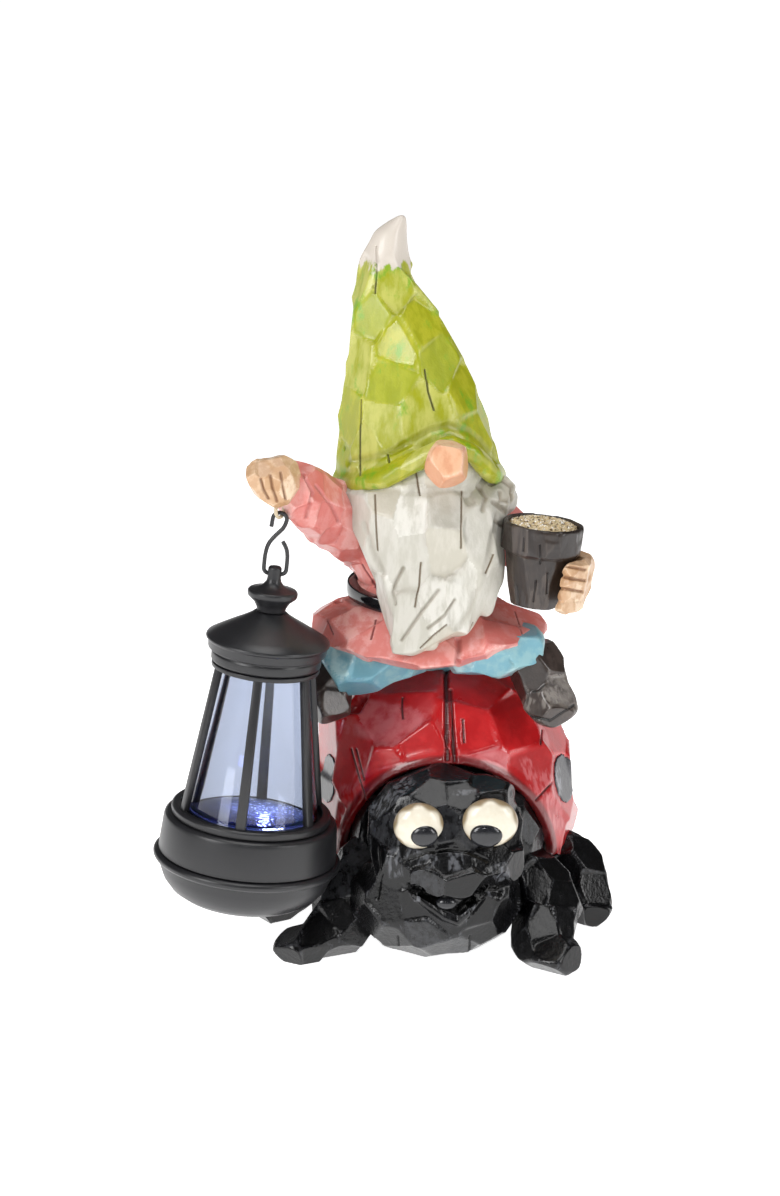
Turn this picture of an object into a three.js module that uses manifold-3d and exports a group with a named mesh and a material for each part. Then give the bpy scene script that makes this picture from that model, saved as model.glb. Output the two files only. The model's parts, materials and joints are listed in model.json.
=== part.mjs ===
import * as THREE from "three";
import { ConvexGeometry } from "three/addons/geometries/ConvexGeometry.js";
import { mergeVertices } from "three/addons/utils/BufferGeometryUtils.js";
import Module from "manifold-3d";

// Garden gnome riding a ladybird, with a hanging solar lantern. Millimetres.
// +X right of the front view, -Y front, +Z up, Z = 0 the ground under the ladybird.

const wasm = await Module();
wasm.setup();

// ---- driving dimensions -------------------------------------------------
const shellWidth = 106; // ladybird wing case, side to side
const shellLength = 114; // ladybird wing case, full ellipsoid front to back
const shellTop = 111; // height of the saddle point on the wing case
const shellWall = 4.5; // thickness of the wing case skin
const gnomeHeight = 175; // saddle to hat tip
const seam = 0.3; // gap between pieces that meet

const ringRadius = 3.1; // hand ring, wire centreline
const ringWire = 0.7; // hand ring wire radius
const hookWire = 0.8; // S-hook wire radius
const hookDrop = 22; // ring wire to finial hole
const lanternLean = 6; // degrees the hanging lantern leans away at rest

const finialStem = 2.6; // finial stem radius
const finialFlare = 9.6; // finial lip radius
const eaveRadius = 23.8; // roof eave
const cageTopRadius = 20.2; // posts at the roof
const cageFootRadius = 29.2; // posts at the drum
const windowHeight = 58.4; // cage, roof to drum ring
const postCount = 6;
const postWidth = 4;
const glassWall = 1.2;
const drumRadius = 33.6;
const drumHeight = 15;
const rimRadius = 36.7; // rim of the light unit bowl
const bowlDepth = 16;
const plasticWall = 2;
const moduleRadius = 24;
const cellLength = 30; // battery
const cellRadius = 5.1;

// ---- helpers ------------------------------------------------------------
const v2 = (x, y) => new THREE.Vector2(x, y);
const v3 = (x, y, z) => new THREE.Vector3(x, y, z);
const rad = THREE.MathUtils.degToRad;

function solid(geometry) {
  const bare = geometry.index ? geometry.toNonIndexed() : geometry.clone();
  bare.deleteAttribute("normal");
  bare.deleteAttribute("uv");
  const merged = mergeVertices(bare, 1e-3);
  return new wasm.Manifold(new wasm.Mesh({
    numProp: 3,
    vertProperties: merged.attributes.position.array,
    triVerts: new Uint32Array(merged.index.array),
  }));
}

function union(parts) {
  return parts.reduce((whole, part) => whole.add(part));
}

function cut(part, ...tools) {
  return tools.reduce((left, tool) => left.subtract(tool), part);
}

// the largest single body of a cut
function whole(part) {
  const bodies = part.decompose();
  return bodies.reduce((best, body) => (body.volume() > best.volume() ? body : best));
}

function mesh(name, part, material) {
  const data = part.getMesh();
  const geometry = new THREE.BufferGeometry();
  geometry.setAttribute("position", new THREE.BufferAttribute(data.vertProperties, 3));
  geometry.setIndex(new THREE.BufferAttribute(data.triVerts, 1));
  geometry.computeVertexNormals();
  const piece = new THREE.Mesh(geometry, material);
  piece.name = name;
  return piece;
}

function box(sx, sy, sz, x, y, z) {
  return solid(new THREE.BoxGeometry(sx, sy, sz).translate(x, y, z));
}

// upright cylinder from z0 to z1
function rod(r, z0, z1, x = 0, y = 0, sides = 16) {
  const geometry = new THREE.CylinderGeometry(r, r, z1 - z0, sides);
  return solid(geometry.rotateX(Math.PI / 2).translate(x, y, (z0 + z1) / 2));
}

// profile turned round the Z axis, points [radius, height] from the bottom up
function turned(points, sides) {
  const profile = points.map(([r, z]) => v2(r, z));
  return solid(new THREE.LatheGeometry(profile, sides).rotateX(Math.PI / 2));
}

// round wire bent along a list of points
function wire(points, r, steps, closed = false) {
  const path = new THREE.CatmullRomCurve3(points, closed, "centripetal");
  const section = new THREE.Shape();
  section.absarc(0, 0, r, 0, Math.PI * 2);
  const options = { steps, curveSegments: 3, bevelEnabled: false, extrudePath: path };
  return solid(new THREE.ExtrudeGeometry(section, options));
}

// A ball is [x, y, z, rx, ry, rz] (or one radius) in a frame { scale, origin }.
function ballPoints(ball, frame, grow, sides, rows) {
  const [x, y, z, rx, ry = rx, rz = rx] = ball;
  const s = frame.scale;
  const o = frame.origin;
  const geometry = new THREE.SphereGeometry(1, sides, rows).rotateX(Math.PI / 2);
  geometry.scale(rx * s[0] + grow, ry * s[1] + grow, rz * s[2] + grow);
  geometry.translate(x * s[0] + o[0], y * s[1] + o[1], z * s[2] + o[2]);
  const at = geometry.attributes.position;
  return Array.from({ length: at.count }, (_, i) => v3().fromBufferAttribute(at, i));
}

// skin pulled tight round a few balls
function lump(balls, frame, grow = 0, sides = 9, rows = 6) {
  const points = balls.flatMap((ball) => ballPoints(ball, frame, grow, sides, rows));
  return solid(new ConvexGeometry(points));
}

// a chain of balls, each pair skinned together
function limb(balls, frame, grow = 0, sides = 8, rows = 5) {
  const links = balls.slice(1).map((ball, i) => lump([balls[i], ball], frame, grow, sides, rows));
  return union(links);
}

function paint(color, roughness, metalness = 0) {
  return new THREE.MeshStandardMaterial({ color, roughness, metalness });
}

// ---- finishes -----------------------------------------------------------
const redGloss = paint(0xc4161c, 0.25);
const blackGloss = paint(0x141416, 0.2);
const spotGrey = paint(0x2c2b2e, 0.4);
const eyeCream = paint(0xe9e3cf, 0.35);
const pupilBlack = paint(0x222328, 0.25);
const coatPink = paint(0xdf8d87, 0.45);
const skin = paint(0xcfa985, 0.5);
const nosePeach = paint(0xd9a585, 0.4);
const beardCream = paint(0xd5d1c4, 0.55);
const hatGreen = paint(0xb4bc38, 0.45);
const trouserBlue = paint(0x7fb3c2, 0.45);
const bootBrown = paint(0x5a504b, 0.4);
const potBrown = paint(0x4c4341, 0.5);
const soilTan = paint(0xb9a27a, 0.9);
const beltBlack = paint(0x141416, 0.15);
const ringCream = paint(0xd9cdb8, 0.4, 0.3);
const wireBlack = paint(0x1c1c1e, 0.35, 0.4);
const lanternBlack = paint(0x2c2c2e, 0.4);
const clearBlue = paint(0xa9b9dc, 0.05);
const clearLens = paint(0xc9cfe8, 0.05);
const solarBlue = paint(0x1b2350, 0.15);
const boardGreen = paint(0x2d6b3a, 0.5);
const ledWhite = paint(0xe8f0ff, 0.2);
const cellSleeve = paint(0x6f8f4a, 0.4);
const springSteel = paint(0xc8c8cc, 0.25, 1);

const model = new THREE.Group();
model.name = "garden_gnome_with_lantern";

// ---- ladybird -----------------------------------------------------------
// Proportions are written for a wing case 106 wide, 114 long, saddle at 111.
const bug = {
  scale: [shellWidth / 106, shellLength / 114, shellTop / 111],
  origin: [0, 0, 0],
};
const bugX = bug.scale[0];
const bugY = bug.scale[1];
const bugZ = bug.scale[2];
const shellBall = [0, 8, 45, 53, 57, 66];
const skirtZ = 31 * bugZ;

function shellSkin(grow) {
  return lump([shellBall], bug, grow, 20, 12);
}

// everything in front of the slanting arch mouth of the wing case
function archMouth() {
  const tilt = Math.atan2(19 * bugY, 44 * bugZ);
  const block = new THREE.BoxGeometry(300, 100, 400);
  block.translate(0, -50, 0).rotateX(tilt).translate(0, -43 * bugY, 78 * bugZ);
  return solid(block);
}

const under = box(400, 400, 200, 0, 0, skirtZ - 100);
const ground = box(400, 400, 100, 0, 0, -50);

const spotBalls = [
  ["shell_spot_front_left", [-46, -12, 60]],
  ["shell_spot_front_right", [46, -12, 60]],
  ["shell_spot_rear_left", [-34, 42, 66]],
  ["shell_spot_rear_right", [34, 42, 66]],
];

// round patch of the shell skin, facing out from the shell centre
function spot([x, y, z], lift, depth, radius) {
  const out = v3((x / 53) / 53, ((y - 8) / 57) / 57, ((z - 45) / 66) / 66).normalize();
  const plug = new THREE.CylinderGeometry(radius, radius, 30, 14);
  plug.applyQuaternion(new THREE.Quaternion().setFromUnitVectors(v3(0, 1, 0), out));
  plug.translate(x * bugX, y * bugY, z * bugZ);
  return solid(plug).intersect(shellSkin(lift)).subtract(shellSkin(-depth));
}

const spots = spotBalls.map(([, place]) => spot(place, 0.5, 1.6, 9.5));
const spotPockets = spotBalls.map(([, place]) => spot(place, 3, 1.9, 9.8));

const grooveSlab = box(1.6, 300, 300, 0, 0, 0).subtract(shellSkin(-1.8));

const belly = (grow) => lump([[0, 6, 31, 46, 49, 9], [0, 2, 6, 36, 42, 9]], bug, grow, 14, 6);
const pronotum = (grow) => lump([[0, -24, 40, 39, 27, 35.5]], bug, grow, 14, 8);
const dome = (grow) => lump([shellBall], bug, grow - shellWall - seam, 20, 12).subtract(under);
const chest = (grow) => union([belly(grow), pronotum(grow), dome(grow)]);
const hollow = lump([[0, 6, 46, 38, 41, 50]], bug, 0, 10, 6);
const floorTop = box(300, 300, 100, 0, 0, 6 - 50);
const drain = rod(6, -20, 20, 12, 24, 12);

const shell = whole(cut(shellSkin(0), shellSkin(-shellWall), archMouth(), under, grooveSlab,
  belly(seam), pronotum(seam), ...spotPockets));

const craniumBall = [-1.5, -46, 50, 31, 22.5, 26];
const muzzleBall = [1, -58, 38, 25, 18, 13];
const jawBall = [-4.4, -48.5, 23.5, 33.8, 23, 22.8];
function headSkin(grow) {
  return union([craniumBall, muzzleBall, jawBall].map((b) => lump([b], bug, grow, 12, 8)));
}

const eyeBalls = [[-11.3, -62.5, 58.6, 9.4, 5, 8.4], [16, -62.5, 60, 10, 5, 8.4]];
const pupilBalls = [[-9.5, -66.8, 56.4, 4.8, 2, 3.9], [15, -66.9, 56.6, 5.6, 2, 4]];
const mouthSlot = limb(
  [[-12.5, -74, 35.5, 1.6, 5, 1.6], [2.5, -77, 26, 2.4, 6, 2.4], [17.5, -73, 36, 1.6, 5, 1.6]],
  bug, 0, 6, 4,
);

const legChains = {
  front_left_leg: [[-31, -33, 31, 11], [-37, -36, 18, 12], [-40.5, -45, 8.8, 12, 11, 8.8],
    [-50, -50, 6.5, 9, 9, 6.5], [-58, -55.5, 5.4, 9, 8.5, 5.4]],
  front_right_leg: [[32, -33, 26, 12], [40.5, -39, 18, 12], [38.5, -51, 11, 11],
    [36.5, -58, 7, 10, 10, 7], [42, -66, 5.6, 9.4, 9.4, 5.6]],
  rear_left_leg: [[-43, -1, 25, 10], [-55, -3, 18, 9, 9, 10.5], [-65, -6, 7.5, 8],
    [-67, -8, 5.2, 7.5, 7.5, 5.2], [-71, -12, 4.8, 7, 7.5, 4.8]],
  rear_right_leg: [[43, -1, 25, 10], [53, -3, 18.5, 10.8, 9, 11.2], [57, -8, 8, 8.4],
    [58, -10, 5.2, 7.6, 7.5, 5.2], [60, -15, 4.8, 6.8, 7.5, 4.8]],
};
function leg(chain, grow) {
  return cut(limb(chain, bug, grow, 8, 5), ground);
}

const legs = Object.entries(legChains);
const nearShell = shellSkin(seam).subtract(archMouth()).subtract(under);
const bugBody = whole(cut(chest(0), hollow.subtract(floorTop), ground, drain));
const head = whole(cut(
  headSkin(0), ...eyeBalls.map((b) => lump([b], bug, seam)),
  ...pupilBalls.map((b) => lump([b], bug, seam)), mouthSlot, ground, nearShell, chest(seam),
));

model.add(mesh("ladybug_body", bugBody, blackGloss));
model.add(mesh("ladybug_shell", shell, redGloss));
model.add(mesh("ladybug_head", head, blackGloss));
spotBalls.forEach(([name], i) => model.add(mesh(name, whole(spots[i]), spotGrey)));
["left", "right"].forEach((side, i) => {
  const pupil = lump([pupilBalls[i]], bug);
  const eye = lump([eyeBalls[i]], bug).subtract(lump([pupilBalls[i]], bug, seam));
  model.add(mesh(`eye_${side}`, whole(eye), eyeCream));
  model.add(mesh(`pupil_${side}`, pupil, pupilBlack));
});
for (const [name, chain] of legs) {
  model.add(mesh(name, whole(cut(leg(chain, 0), nearShell, chest(seam), headSkin(seam))), blackGloss));
}

// ---- gnome --------------------------------------------------------------
// Proportions are written for 175 from saddle to hat tip; Z from the saddle.
const size = gnomeHeight / 175;
const gnome = { scale: [size, size, size], origin: [0, 0, shellTop] };
const place = (x, y, z) => v3(x * size, y * size, z * size + shellTop);

const bootChains = {
  right_boot: [[-45.5, -23, -3, 8, 8, 6], [-46, -24, -10, 7.5, 8, 7], [-46.5, -28, -15, 7.5, 9, 5.5]],
  left_boot: [[34, -26, 2.5, 10.5, 10, 8], [38, -28, -8, 9, 9, 7.5], [40.5, -35, -13.5, 9, 9, 6]],
};
const thighChains = {
  right_trouser_leg: [[-14, -22, 7, 11, 12, 9], [-36.5, -28, 1.5, 11.5, 11, 11]],
  left_trouser_leg: [[8, -30, 8, 10, 12, 9], [25.5, -27, 8, 12, 12, 9.5]],
};
const skirtBalls = [
  [-8, -14, 23, 29, 20, 3], [-43.5, -14, 14.5, 9.5, 17, 7], [28.5, -14, 12, 10, 16, 6.5],
  [-6, -40, 8, 18, 9, 3.5], [-30, -32, 10, 12, 10, 4], [19, -33, 13, 10, 10, 4],
  [-8, 12, 10, 30, 10, 5],
];
const torsoBalls = [
  [-8, -14, 26, 27.5, 18.5, 4], [-9, -14.5, 36, 29.5, 19.5, 5], [-9.5, -14, 44, 30, 18, 9],
  [-9, -12, 58, 28, 14, 9],
];
const raisedArm = [[-57.5, -43, 74, 8.5, 8.5, 10.8], [-47, -28, 63, 10, 10, 13],
  [-30, -14, 50, 11, 11, 15]];
const potArm = [[18, -13, 55, 9, 10, 11], [36, -8, 38, 8.5, 8.5, 8.5], [47, -25, 38, 6, 6.5, 8]];
const noseBall = [-0.8, -48.5, 86, 7.6, 8, 8.6];
const beltZ = [25, 30.8];
const beltTilt = [9, 4]; // degrees, lower at the front and on the pot side

function beltBand(grow) {
  const profile = [[25.5 - grow, beltZ[0] - grow], [29.6 + grow, beltZ[0] - grow],
    [29.6 + grow, beltZ[1] + grow], [25.5 - grow, beltZ[1] + grow], [25.5 - grow, beltZ[0] - grow]];
  const middle = (beltZ[0] + beltZ[1]) / 2;
  const band = turned(profile, 28).scale([1, 0.73, 1]).translate([0, 0, -middle]);
  return band.rotate([beltTilt[0], beltTilt[1], 0]).translate([-9.8, -14.5, middle])
    .scale([size, size, size]).translate([0, 0, shellTop]);
}

const beardMass = [
  [[-25, -27, 66, 14, 15, 9], [8.5, -26, 64, 14, 15, 9], [-24, -31, 47, 12, 13, 9],
    [8.5, -32, 44, 13, 14, 10], [-4, -34, 60, 18, 15, 14]],
  [[-24, -31, 47, 11, 13, 9], [8.5, -32, 44, 13, 14, 10], [-17.5, -41, 21, 5.5, 7.5, 7],
    [2, -42, 22, 7, 8, 6]],
  [[-15.5, -43, 20, 6, 7, 7], [-17.5, -46.5, 14.5, 4.4, 5, 3.6]],
];
const faceMass = [[-9, -20, 72, 26, 20, 12], [-3, -28, 80, 17, 13, 9]];
const hairMass = [[-9, -6, 64, 29, 19, 10], [-9, -10, 68, 31, 22, 8]];
function beardSkin(grow) {
  const locks = beardMass.map((balls) => lump(balls, gnome, grow, 8, 6));
  return union([...locks, lump(faceMass, gnome, grow), lump(hairMass, gnome, grow, 12, 6)]);
}

const hatRings = [
  [-11, -11, 74, 33, 27.5, 4], [-13, -11, 92, 29.5, 24, 4], [-15.3, -10, 112, 24.7, 20, 4],
  [-21.3, -8, 138, 16.3, 13.5, 4], [-24.5, -6, 157, 9.2, 8.5, 4], [-22.5, -5, 167, 6.6, 6.2, 3.5],
  [-17.4, -5, 173.4, 2, 2, 1.6],
];
const brimLoop = [
  [-41, -15, 73], [-35, -29, 74], [-24, -36, 77.5], [-9, -40.5, 87], [1, -41.5, 92],
  [10.5, -39, 87], [17, -31, 78], [19, -17, 75.5], [16.5, 0, 73.5], [8, 12, 72], [-10, 16.5, 72],
  [-29, 11, 72], [-39, 0, 72.5],
];
function hatSkin(grow) {
  const cone = limb(hatRings, gnome, grow, 14, 4);
  const roll = brimLoop.map(([x, y, z], i) => {
    const next = brimLoop[(i + 1) % brimLoop.length];
    return lump([[x, y, z, 4], [...next, 4]], gnome, grow, 6, 4);
  });
  const mouth = new THREE.Shape([v2(-40, 50), v2(22, 50), v2(22, 74), v2(11, 83), v2(1, 89),
    v2(-9, 83.5), v2(-24, 74), v2(-40, 70)]);
  const face = new THREE.ExtrudeGeometry(mouth, { depth: 60, bevelEnabled: false });
  face.rotateX(Math.PI / 2).translate(0, -18 - grow, 0).scale(size, size, size);
  face.translate(0, 0, shellTop);
  return union([cone.subtract(solid(face)), ...roll]);
}

// fist: palm with four fingers curled down over the front
const fistPalm = [[-62.5, -48.5, 80, 7, 8, 8.5], [-67, -48, 79, 7, 7, 8]];
function fistSkin(grow) {
  const fingers = [0, 1, 2, 3].map((i) => {
    const x = -73 + 3.9 * i;
    const drop = 0.8 * i;
    return limb([[x + 0.6, -49.5, 84.5 - drop, 2.8], [x, -54.5, 81.5 - drop, 2.8],
      [x + 0.9, -53.5, 72.5 - drop, 2.6]], gnome, grow, 6, 4);
  });
  return union([lump(fistPalm, gnome, grow), ...fingers]);
}

// hand round the pot: palm at the side, four fingers across the front
const potPalm = [[50, -33, 42, 5, 6.5, 5], [50, -33, 34, 5, 6.5, 5]];
function potHandSkin(grow) {
  const fingers = [0, 1, 2, 3].map((i) => {
    const z = 45 - 4.9 * i;
    const reach = 0.8 * i;
    return limb([[52.5 - reach, -36, z, 3], [51.5 - reach, -45, z, 2.8], [45.5 - reach, -50.5, z, 2.6]],
      gnome, grow, 6, 4);
  });
  return union([lump(potPalm, gnome, grow), ...fingers]);
}

// pot, leaning outwards, turned about its own axis
const potLean = rad(6);
const potFoot = place(33.2, -37.5, 28.5);
function onPot(part) {
  return part.scale([size, size, size]).rotate([0, 6, 0])
    .translate([potFoot.x, potFoot.y, potFoot.z]);
}
const potOuter = [[0, 0], [9.6, 0], [13.8, 20.5], [15.4, 21.5], [15.7, 31.5], [15, 32.5]];
const pot = onPot(turned([...potOuter, [13.6, 32.5], [13.2, 25], [0, 25]], 18));
const potBlank = onPot(turned([[0, -0.4], [9.9, -0.4], [14.1, 20.3], [15.7, 21.2], [16, 31.6],
  [15.3, 32.9], [0, 32.9]], 24));
const soil = onPot(turned([[0, 25.3], [12.9, 25.3], [13.1, 31.2], [10.5, 32.6], [5.5, 33.6],
  [0, 33.9]], 18));

const bootBlank = (name, grow) => limb(bootChains[name], gnome, grow);
const thighBlank = (name, grow) => limb(thighChains[name], gnome, grow);
const shellBlank = shellSkin(seam);
const bootPockets = Object.keys(bootChains).map((name) => bootBlank(name, seam));
const thighPockets = Object.keys(thighChains).map((name) => thighBlank(name, seam));
const skirtSkin = (grow) => lump(skirtBalls, gnome, grow, 12, 6);
const armSkin = (chain, grow) => limb(chain, gnome, grow);

// ring through the fist
const pivot = place(-64, -50, 65.4);
function ringWireAt(grow) {
  const points = Array.from({ length: 12 }, (_, i) => {
    const a = (i / 12) * Math.PI * 2;
    return v3(0, ringRadius * Math.cos(a), ringRadius * Math.sin(a));
  });
  return wire(points, ringWire + grow, 14, true).rotate([0, 0, -28])
    .translate([pivot.x, pivot.y, pivot.z + ringRadius]);
}
const hookRoom = lump([[pivot.x, pivot.y, pivot.z, 5.5, 3, 4.2]],
  { scale: [1, 1, 1], origin: [0, 0, 0] });

const hat = whole(hatSkin(0));
const nose = whole(cut(lump([noseBall], gnome, 0, 8, 5), hatSkin(seam)));
const nosePocket = lump([noseBall], gnome, seam, 8, 5);
const beard = whole(cut(beardSkin(0), hatSkin(seam), nosePocket, potBlank));
const beardPocket = beardSkin(seam);
const belt = whole(cut(beltBand(0), beardPocket));
const skirt = whole(cut(skirtSkin(0), shellBlank, beltBand(seam), beardPocket,
  ...thighPockets, ...bootPockets));
const fist = whole(cut(fistSkin(0), ringWireAt(seam), hookRoom));
const potHand = whole(cut(potHandSkin(0), potBlank));
const raisedSleeve = whole(cut(armSkin(raisedArm, 0), fistSkin(seam), beardPocket, skirtSkin(seam),
  hatSkin(seam), ringWireAt(seam), hookRoom));
const potSleeve = whole(cut(armSkin(potArm, 0), potHandSkin(seam), potBlank, beardPocket,
  skirtSkin(seam)));
const torso = whole(cut(lump(torsoBalls, gnome, 0, 12, 6), beltBand(seam), skirtSkin(seam),
  beardPocket, armSkin(raisedArm, seam), armSkin(potArm, seam), hatSkin(seam)));

model.add(mesh("hat", hat, hatGreen));
model.add(mesh("nose", nose, nosePeach));
model.add(mesh("beard", beard, beardCream));
model.add(mesh("coat", torso, coatPink));
model.add(mesh("belt", belt, beltBlack));
model.add(mesh("coat_skirt", skirt, coatPink));
model.add(mesh("right_sleeve", raisedSleeve, coatPink));
model.add(mesh("left_sleeve", potSleeve, coatPink));
model.add(mesh("right_hand", fist, skin));
model.add(mesh("left_hand", potHand, skin));
for (const name of Object.keys(thighChains)) {
  const trouser = cut(thighBlank(name, 0), shellBlank, ...bootPockets,
    name.startsWith("right") ? thighPockets[1] : ground);
  model.add(mesh(name, whole(trouser), trouserBlue));
}
for (const name of Object.keys(bootChains)) {
  model.add(mesh(name, whole(cut(bootBlank(name, 0), shellBlank)), bootBrown));
}
model.add(mesh("pot", whole(pot), potBrown));
model.add(mesh("pot_soil", whole(soil), soilTan));
model.add(mesh("hand_ring", ringWireAt(0), ringCream));

// ---- S-hook, in the leaning frame of the hanging lantern -----------------
const hanging = new THREE.Group();
hanging.name = "hanging";
hanging.position.copy(pivot);
hanging.rotation.y = rad(lanternLean);
model.add(hanging);

const hookReach = ringWire + hookWire + 0.4; // ring wire centre to hook wire centre
const hookTurn = 2.7; // upper bend radius
const hookSide = finialStem + hookWire + 0.9; // half width of the lower loop
const hookCorner = 2;
const low = -hookDrop;
const hookPoints = [v3(-hookTurn - 0.2, 0, hookReach - hookTurn - 3)];
for (let a = 180; a >= 0; a -= 30) {
  const x = hookTurn * Math.cos(rad(a));
  hookPoints.push(v3(x, 0, hookReach - hookTurn + hookTurn * Math.sin(rad(a))));
}
hookPoints.push(v3(1.9, 0, -3.9), v3(-0.8, 0, -6.8), v3(-3.6, 0, -10.6), v3(-hookSide, 0, low + 7));
for (let a = 180; a <= 270; a += 30) {
  const x = -hookSide + hookCorner + hookCorner * Math.cos(rad(a));
  hookPoints.push(v3(x, 0, low + hookCorner + hookCorner * Math.sin(rad(a))));
}
for (let a = 270; a <= 360; a += 30) {
  const x = hookSide - hookCorner + hookCorner * Math.cos(rad(a));
  hookPoints.push(v3(x, 0, low + hookCorner + hookCorner * Math.sin(rad(a))));
}
hookPoints.push(v3(hookSide, 0, low + 7), v3(3.6, 0, -11.4), v3(1.9, 0, -9.2));
hanging.add(mesh("s_hook", wire(hookPoints, hookWire, 46), wireBlack));

// ---- lantern, Z from the finial hole down its own axis --------------------
const lantern = new THREE.Group();
lantern.name = "lantern";
lantern.position.z = low;
hanging.add(lantern);

const neckZ = -14.4;
const eaveZ = -25;
const roofFoot = -35.4;
const cageFoot = roofFoot - windowHeight; // bottom of the windows
const drumTop = cageFoot - 3.4;
const drumFoot = drumTop - drumHeight;
const rimFoot = drumFoot - seam - 3.2;
const bowlFoot = rimFoot - bowlDepth + 1;

const stemHole = new THREE.CylinderGeometry(hookWire + 0.4, hookWire + 0.4, 20, 12);
const finialBlank = turned([
  [0, -21.5], [3, -21.5], [3, neckZ - 0.2], [5.4, neckZ - 0.2], [6.3, -11.8],
  [finialFlare, -8.2], [finialFlare, -6.8], [finialFlare - 0.9, -6.2], [6, -5.6],
  [3.6, -4.4], [finialStem, -2.6], [finialStem, 2.2], [finialStem - 0.6, 2.9], [0, 2.9],
], 16);
const finial = cut(finialBlank, solid(stemHole.rotateZ(Math.PI / 2)), rod(1.15, -22, -17, 0, 0, 10));
lantern.add(mesh("finial", finial, lanternBlack));

const finialScrew = rod(0.85, -23.7, -17.6, 0, 0, 8).add(rod(2.1, -25.2, -23.6, 0, 0, 10));
const driver = cut(finialScrew, box(3, 0.6, 0.8, 0, 0, -25.2));
lantern.add(mesh("finial_screw", driver, springSteel));

const band = eaveRadius - 0.8;
const lowBand = eaveRadius - 2.6;
const roof = turned([
  [cageTopRadius - 0.7, roofFoot], [lowBand - 0.8, roofFoot], [lowBand, roofFoot + 0.8],
  [lowBand, roofFoot + 3.6], [lowBand - 0.5, roofFoot + 4.4], [band, roofFoot + 5.2],
  [band, roofFoot + 8.2], [eaveRadius, roofFoot + 9], [eaveRadius, eaveZ],
  [18.2, eaveZ + 4], [8, eaveZ + 8.8], [6.2, neckZ - 0.5], [3.3, neckZ - 0.5], [3.3, -23.3],
  [7, -23.3], [7, eaveZ + 5.2], [20.5, eaveZ - 1], [20.5, roofFoot + 7.8],
  [cageTopRadius - 0.7, roofFoot + 7.8], [cageTopRadius - 0.7, roofFoot],
], 20);
const screwWay = rod(1.2, -40, -20, 0, 0, 10);
const roofPlate = turned([[0, -23.3], [7, -23.3], [7, -21.8], [0, -21.8]], 16);
lantern.add(mesh("roof", whole(roof.add(roofPlate).subtract(screwWay)), lanternBlack));

// cage: seat ring inside the roof, posts, foot ring
const slope = (cageFootRadius - cageTopRadius) / windowHeight;
const postDepth = 2.6;
const seat = cageTopRadius - 1;
const topRing = turned([
  [seat - 2, roofFoot - 2], [cageTopRadius + 0.6, roofFoot - 2],
  [cageTopRadius + 0.6, roofFoot - 0.3], [seat, roofFoot - 0.3], [seat, roofFoot + 6],
  [seat - 2, roofFoot + 6], [seat - 2, roofFoot - 2],
], 20);
const footRing = turned([
  [cageFootRadius - 1.6, drumTop + seam], [cageFootRadius + 1.9, drumTop + seam],
  [cageFootRadius + 1.9, cageFoot - 0.6], [cageFootRadius + 1, cageFoot],
  [cageFootRadius - 1.6, cageFoot], [cageFootRadius - 1.6, drumTop + seam],
], 20);
const posts = Array.from({ length: postCount }, (_, i) => {
  const height = windowHeight + 2;
  const post = new THREE.BoxGeometry(postDepth, postWidth, height);
  post.translate(0, 0, height / 2);
  post.rotateY(-Math.atan(slope)).translate(cageFootRadius - postDepth / 2 + 0.2, 0, cageFoot - 1);
  return solid(post.rotateZ(rad(-96 + (360 / postCount) * i)));
});
const cageTrim = turned([[0, roofFoot - 1], [60, roofFoot - 1], [60, 0], [0, 0]], 12);
const cage = union([topRing, footRing, ...posts.map((p) => p.subtract(cageTrim))]);
lantern.add(mesh("cage", whole(cage), lanternBlack));

// clear window cone inside the posts
const glassTop = cageTopRadius - postDepth - 0.5 - seam;
const glassFoot = cageFootRadius - postDepth - 0.4 - seam;
const glass = turned([
  [glassFoot - glassWall, drumTop + seam], [glassFoot, drumTop + seam],
  [glassTop, roofFoot - 2.3], [seat - 2.4, roofFoot + 2], [seat - 2.4 - glassWall, roofFoot + 2],
  [glassTop - glassWall, roofFoot - 2.3], [glassFoot - glassWall, drumTop + seam],
], 20);
lantern.add(mesh("window", glass, clearBlue));

// drum with an open top for the light and three bayonet ledges inside
const drumInner = drumRadius - plasticWall;
const drumBlank = turned([
  [drumInner + 1, drumFoot], [drumRadius + 1.2, drumFoot], [drumRadius, drumTop - 1],
  [drumRadius - 1, drumTop], [moduleRadius + 0.6, drumTop], [moduleRadius + 0.6, drumTop - 2],
  [drumInner - 0.8, drumTop - 2], [drumInner + 1, drumFoot],
], 20);
const sector = (from, to, r0, r1, z0, z1) => {
  const shape = new THREE.Shape();
  shape.absarc(0, 0, r1, rad(from), rad(to), false);
  shape.absarc(0, 0, r0, rad(to), rad(from), true);
  const geometry = new THREE.ExtrudeGeometry(shape,
    { depth: z1 - z0, bevelEnabled: false, curveSegments: 3 });
  return solid(geometry.translate(0, 0, z0));
};
const ledges = [0, 120, 240].map((a) =>
  sector(a - 14, a + 14, drumInner - 1.8, drumInner + 1.6, drumFoot + 2.4, drumFoot + 4.4));
lantern.add(mesh("lantern_base", whole(union([drumBlank, ...ledges])), lanternBlack));

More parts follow.
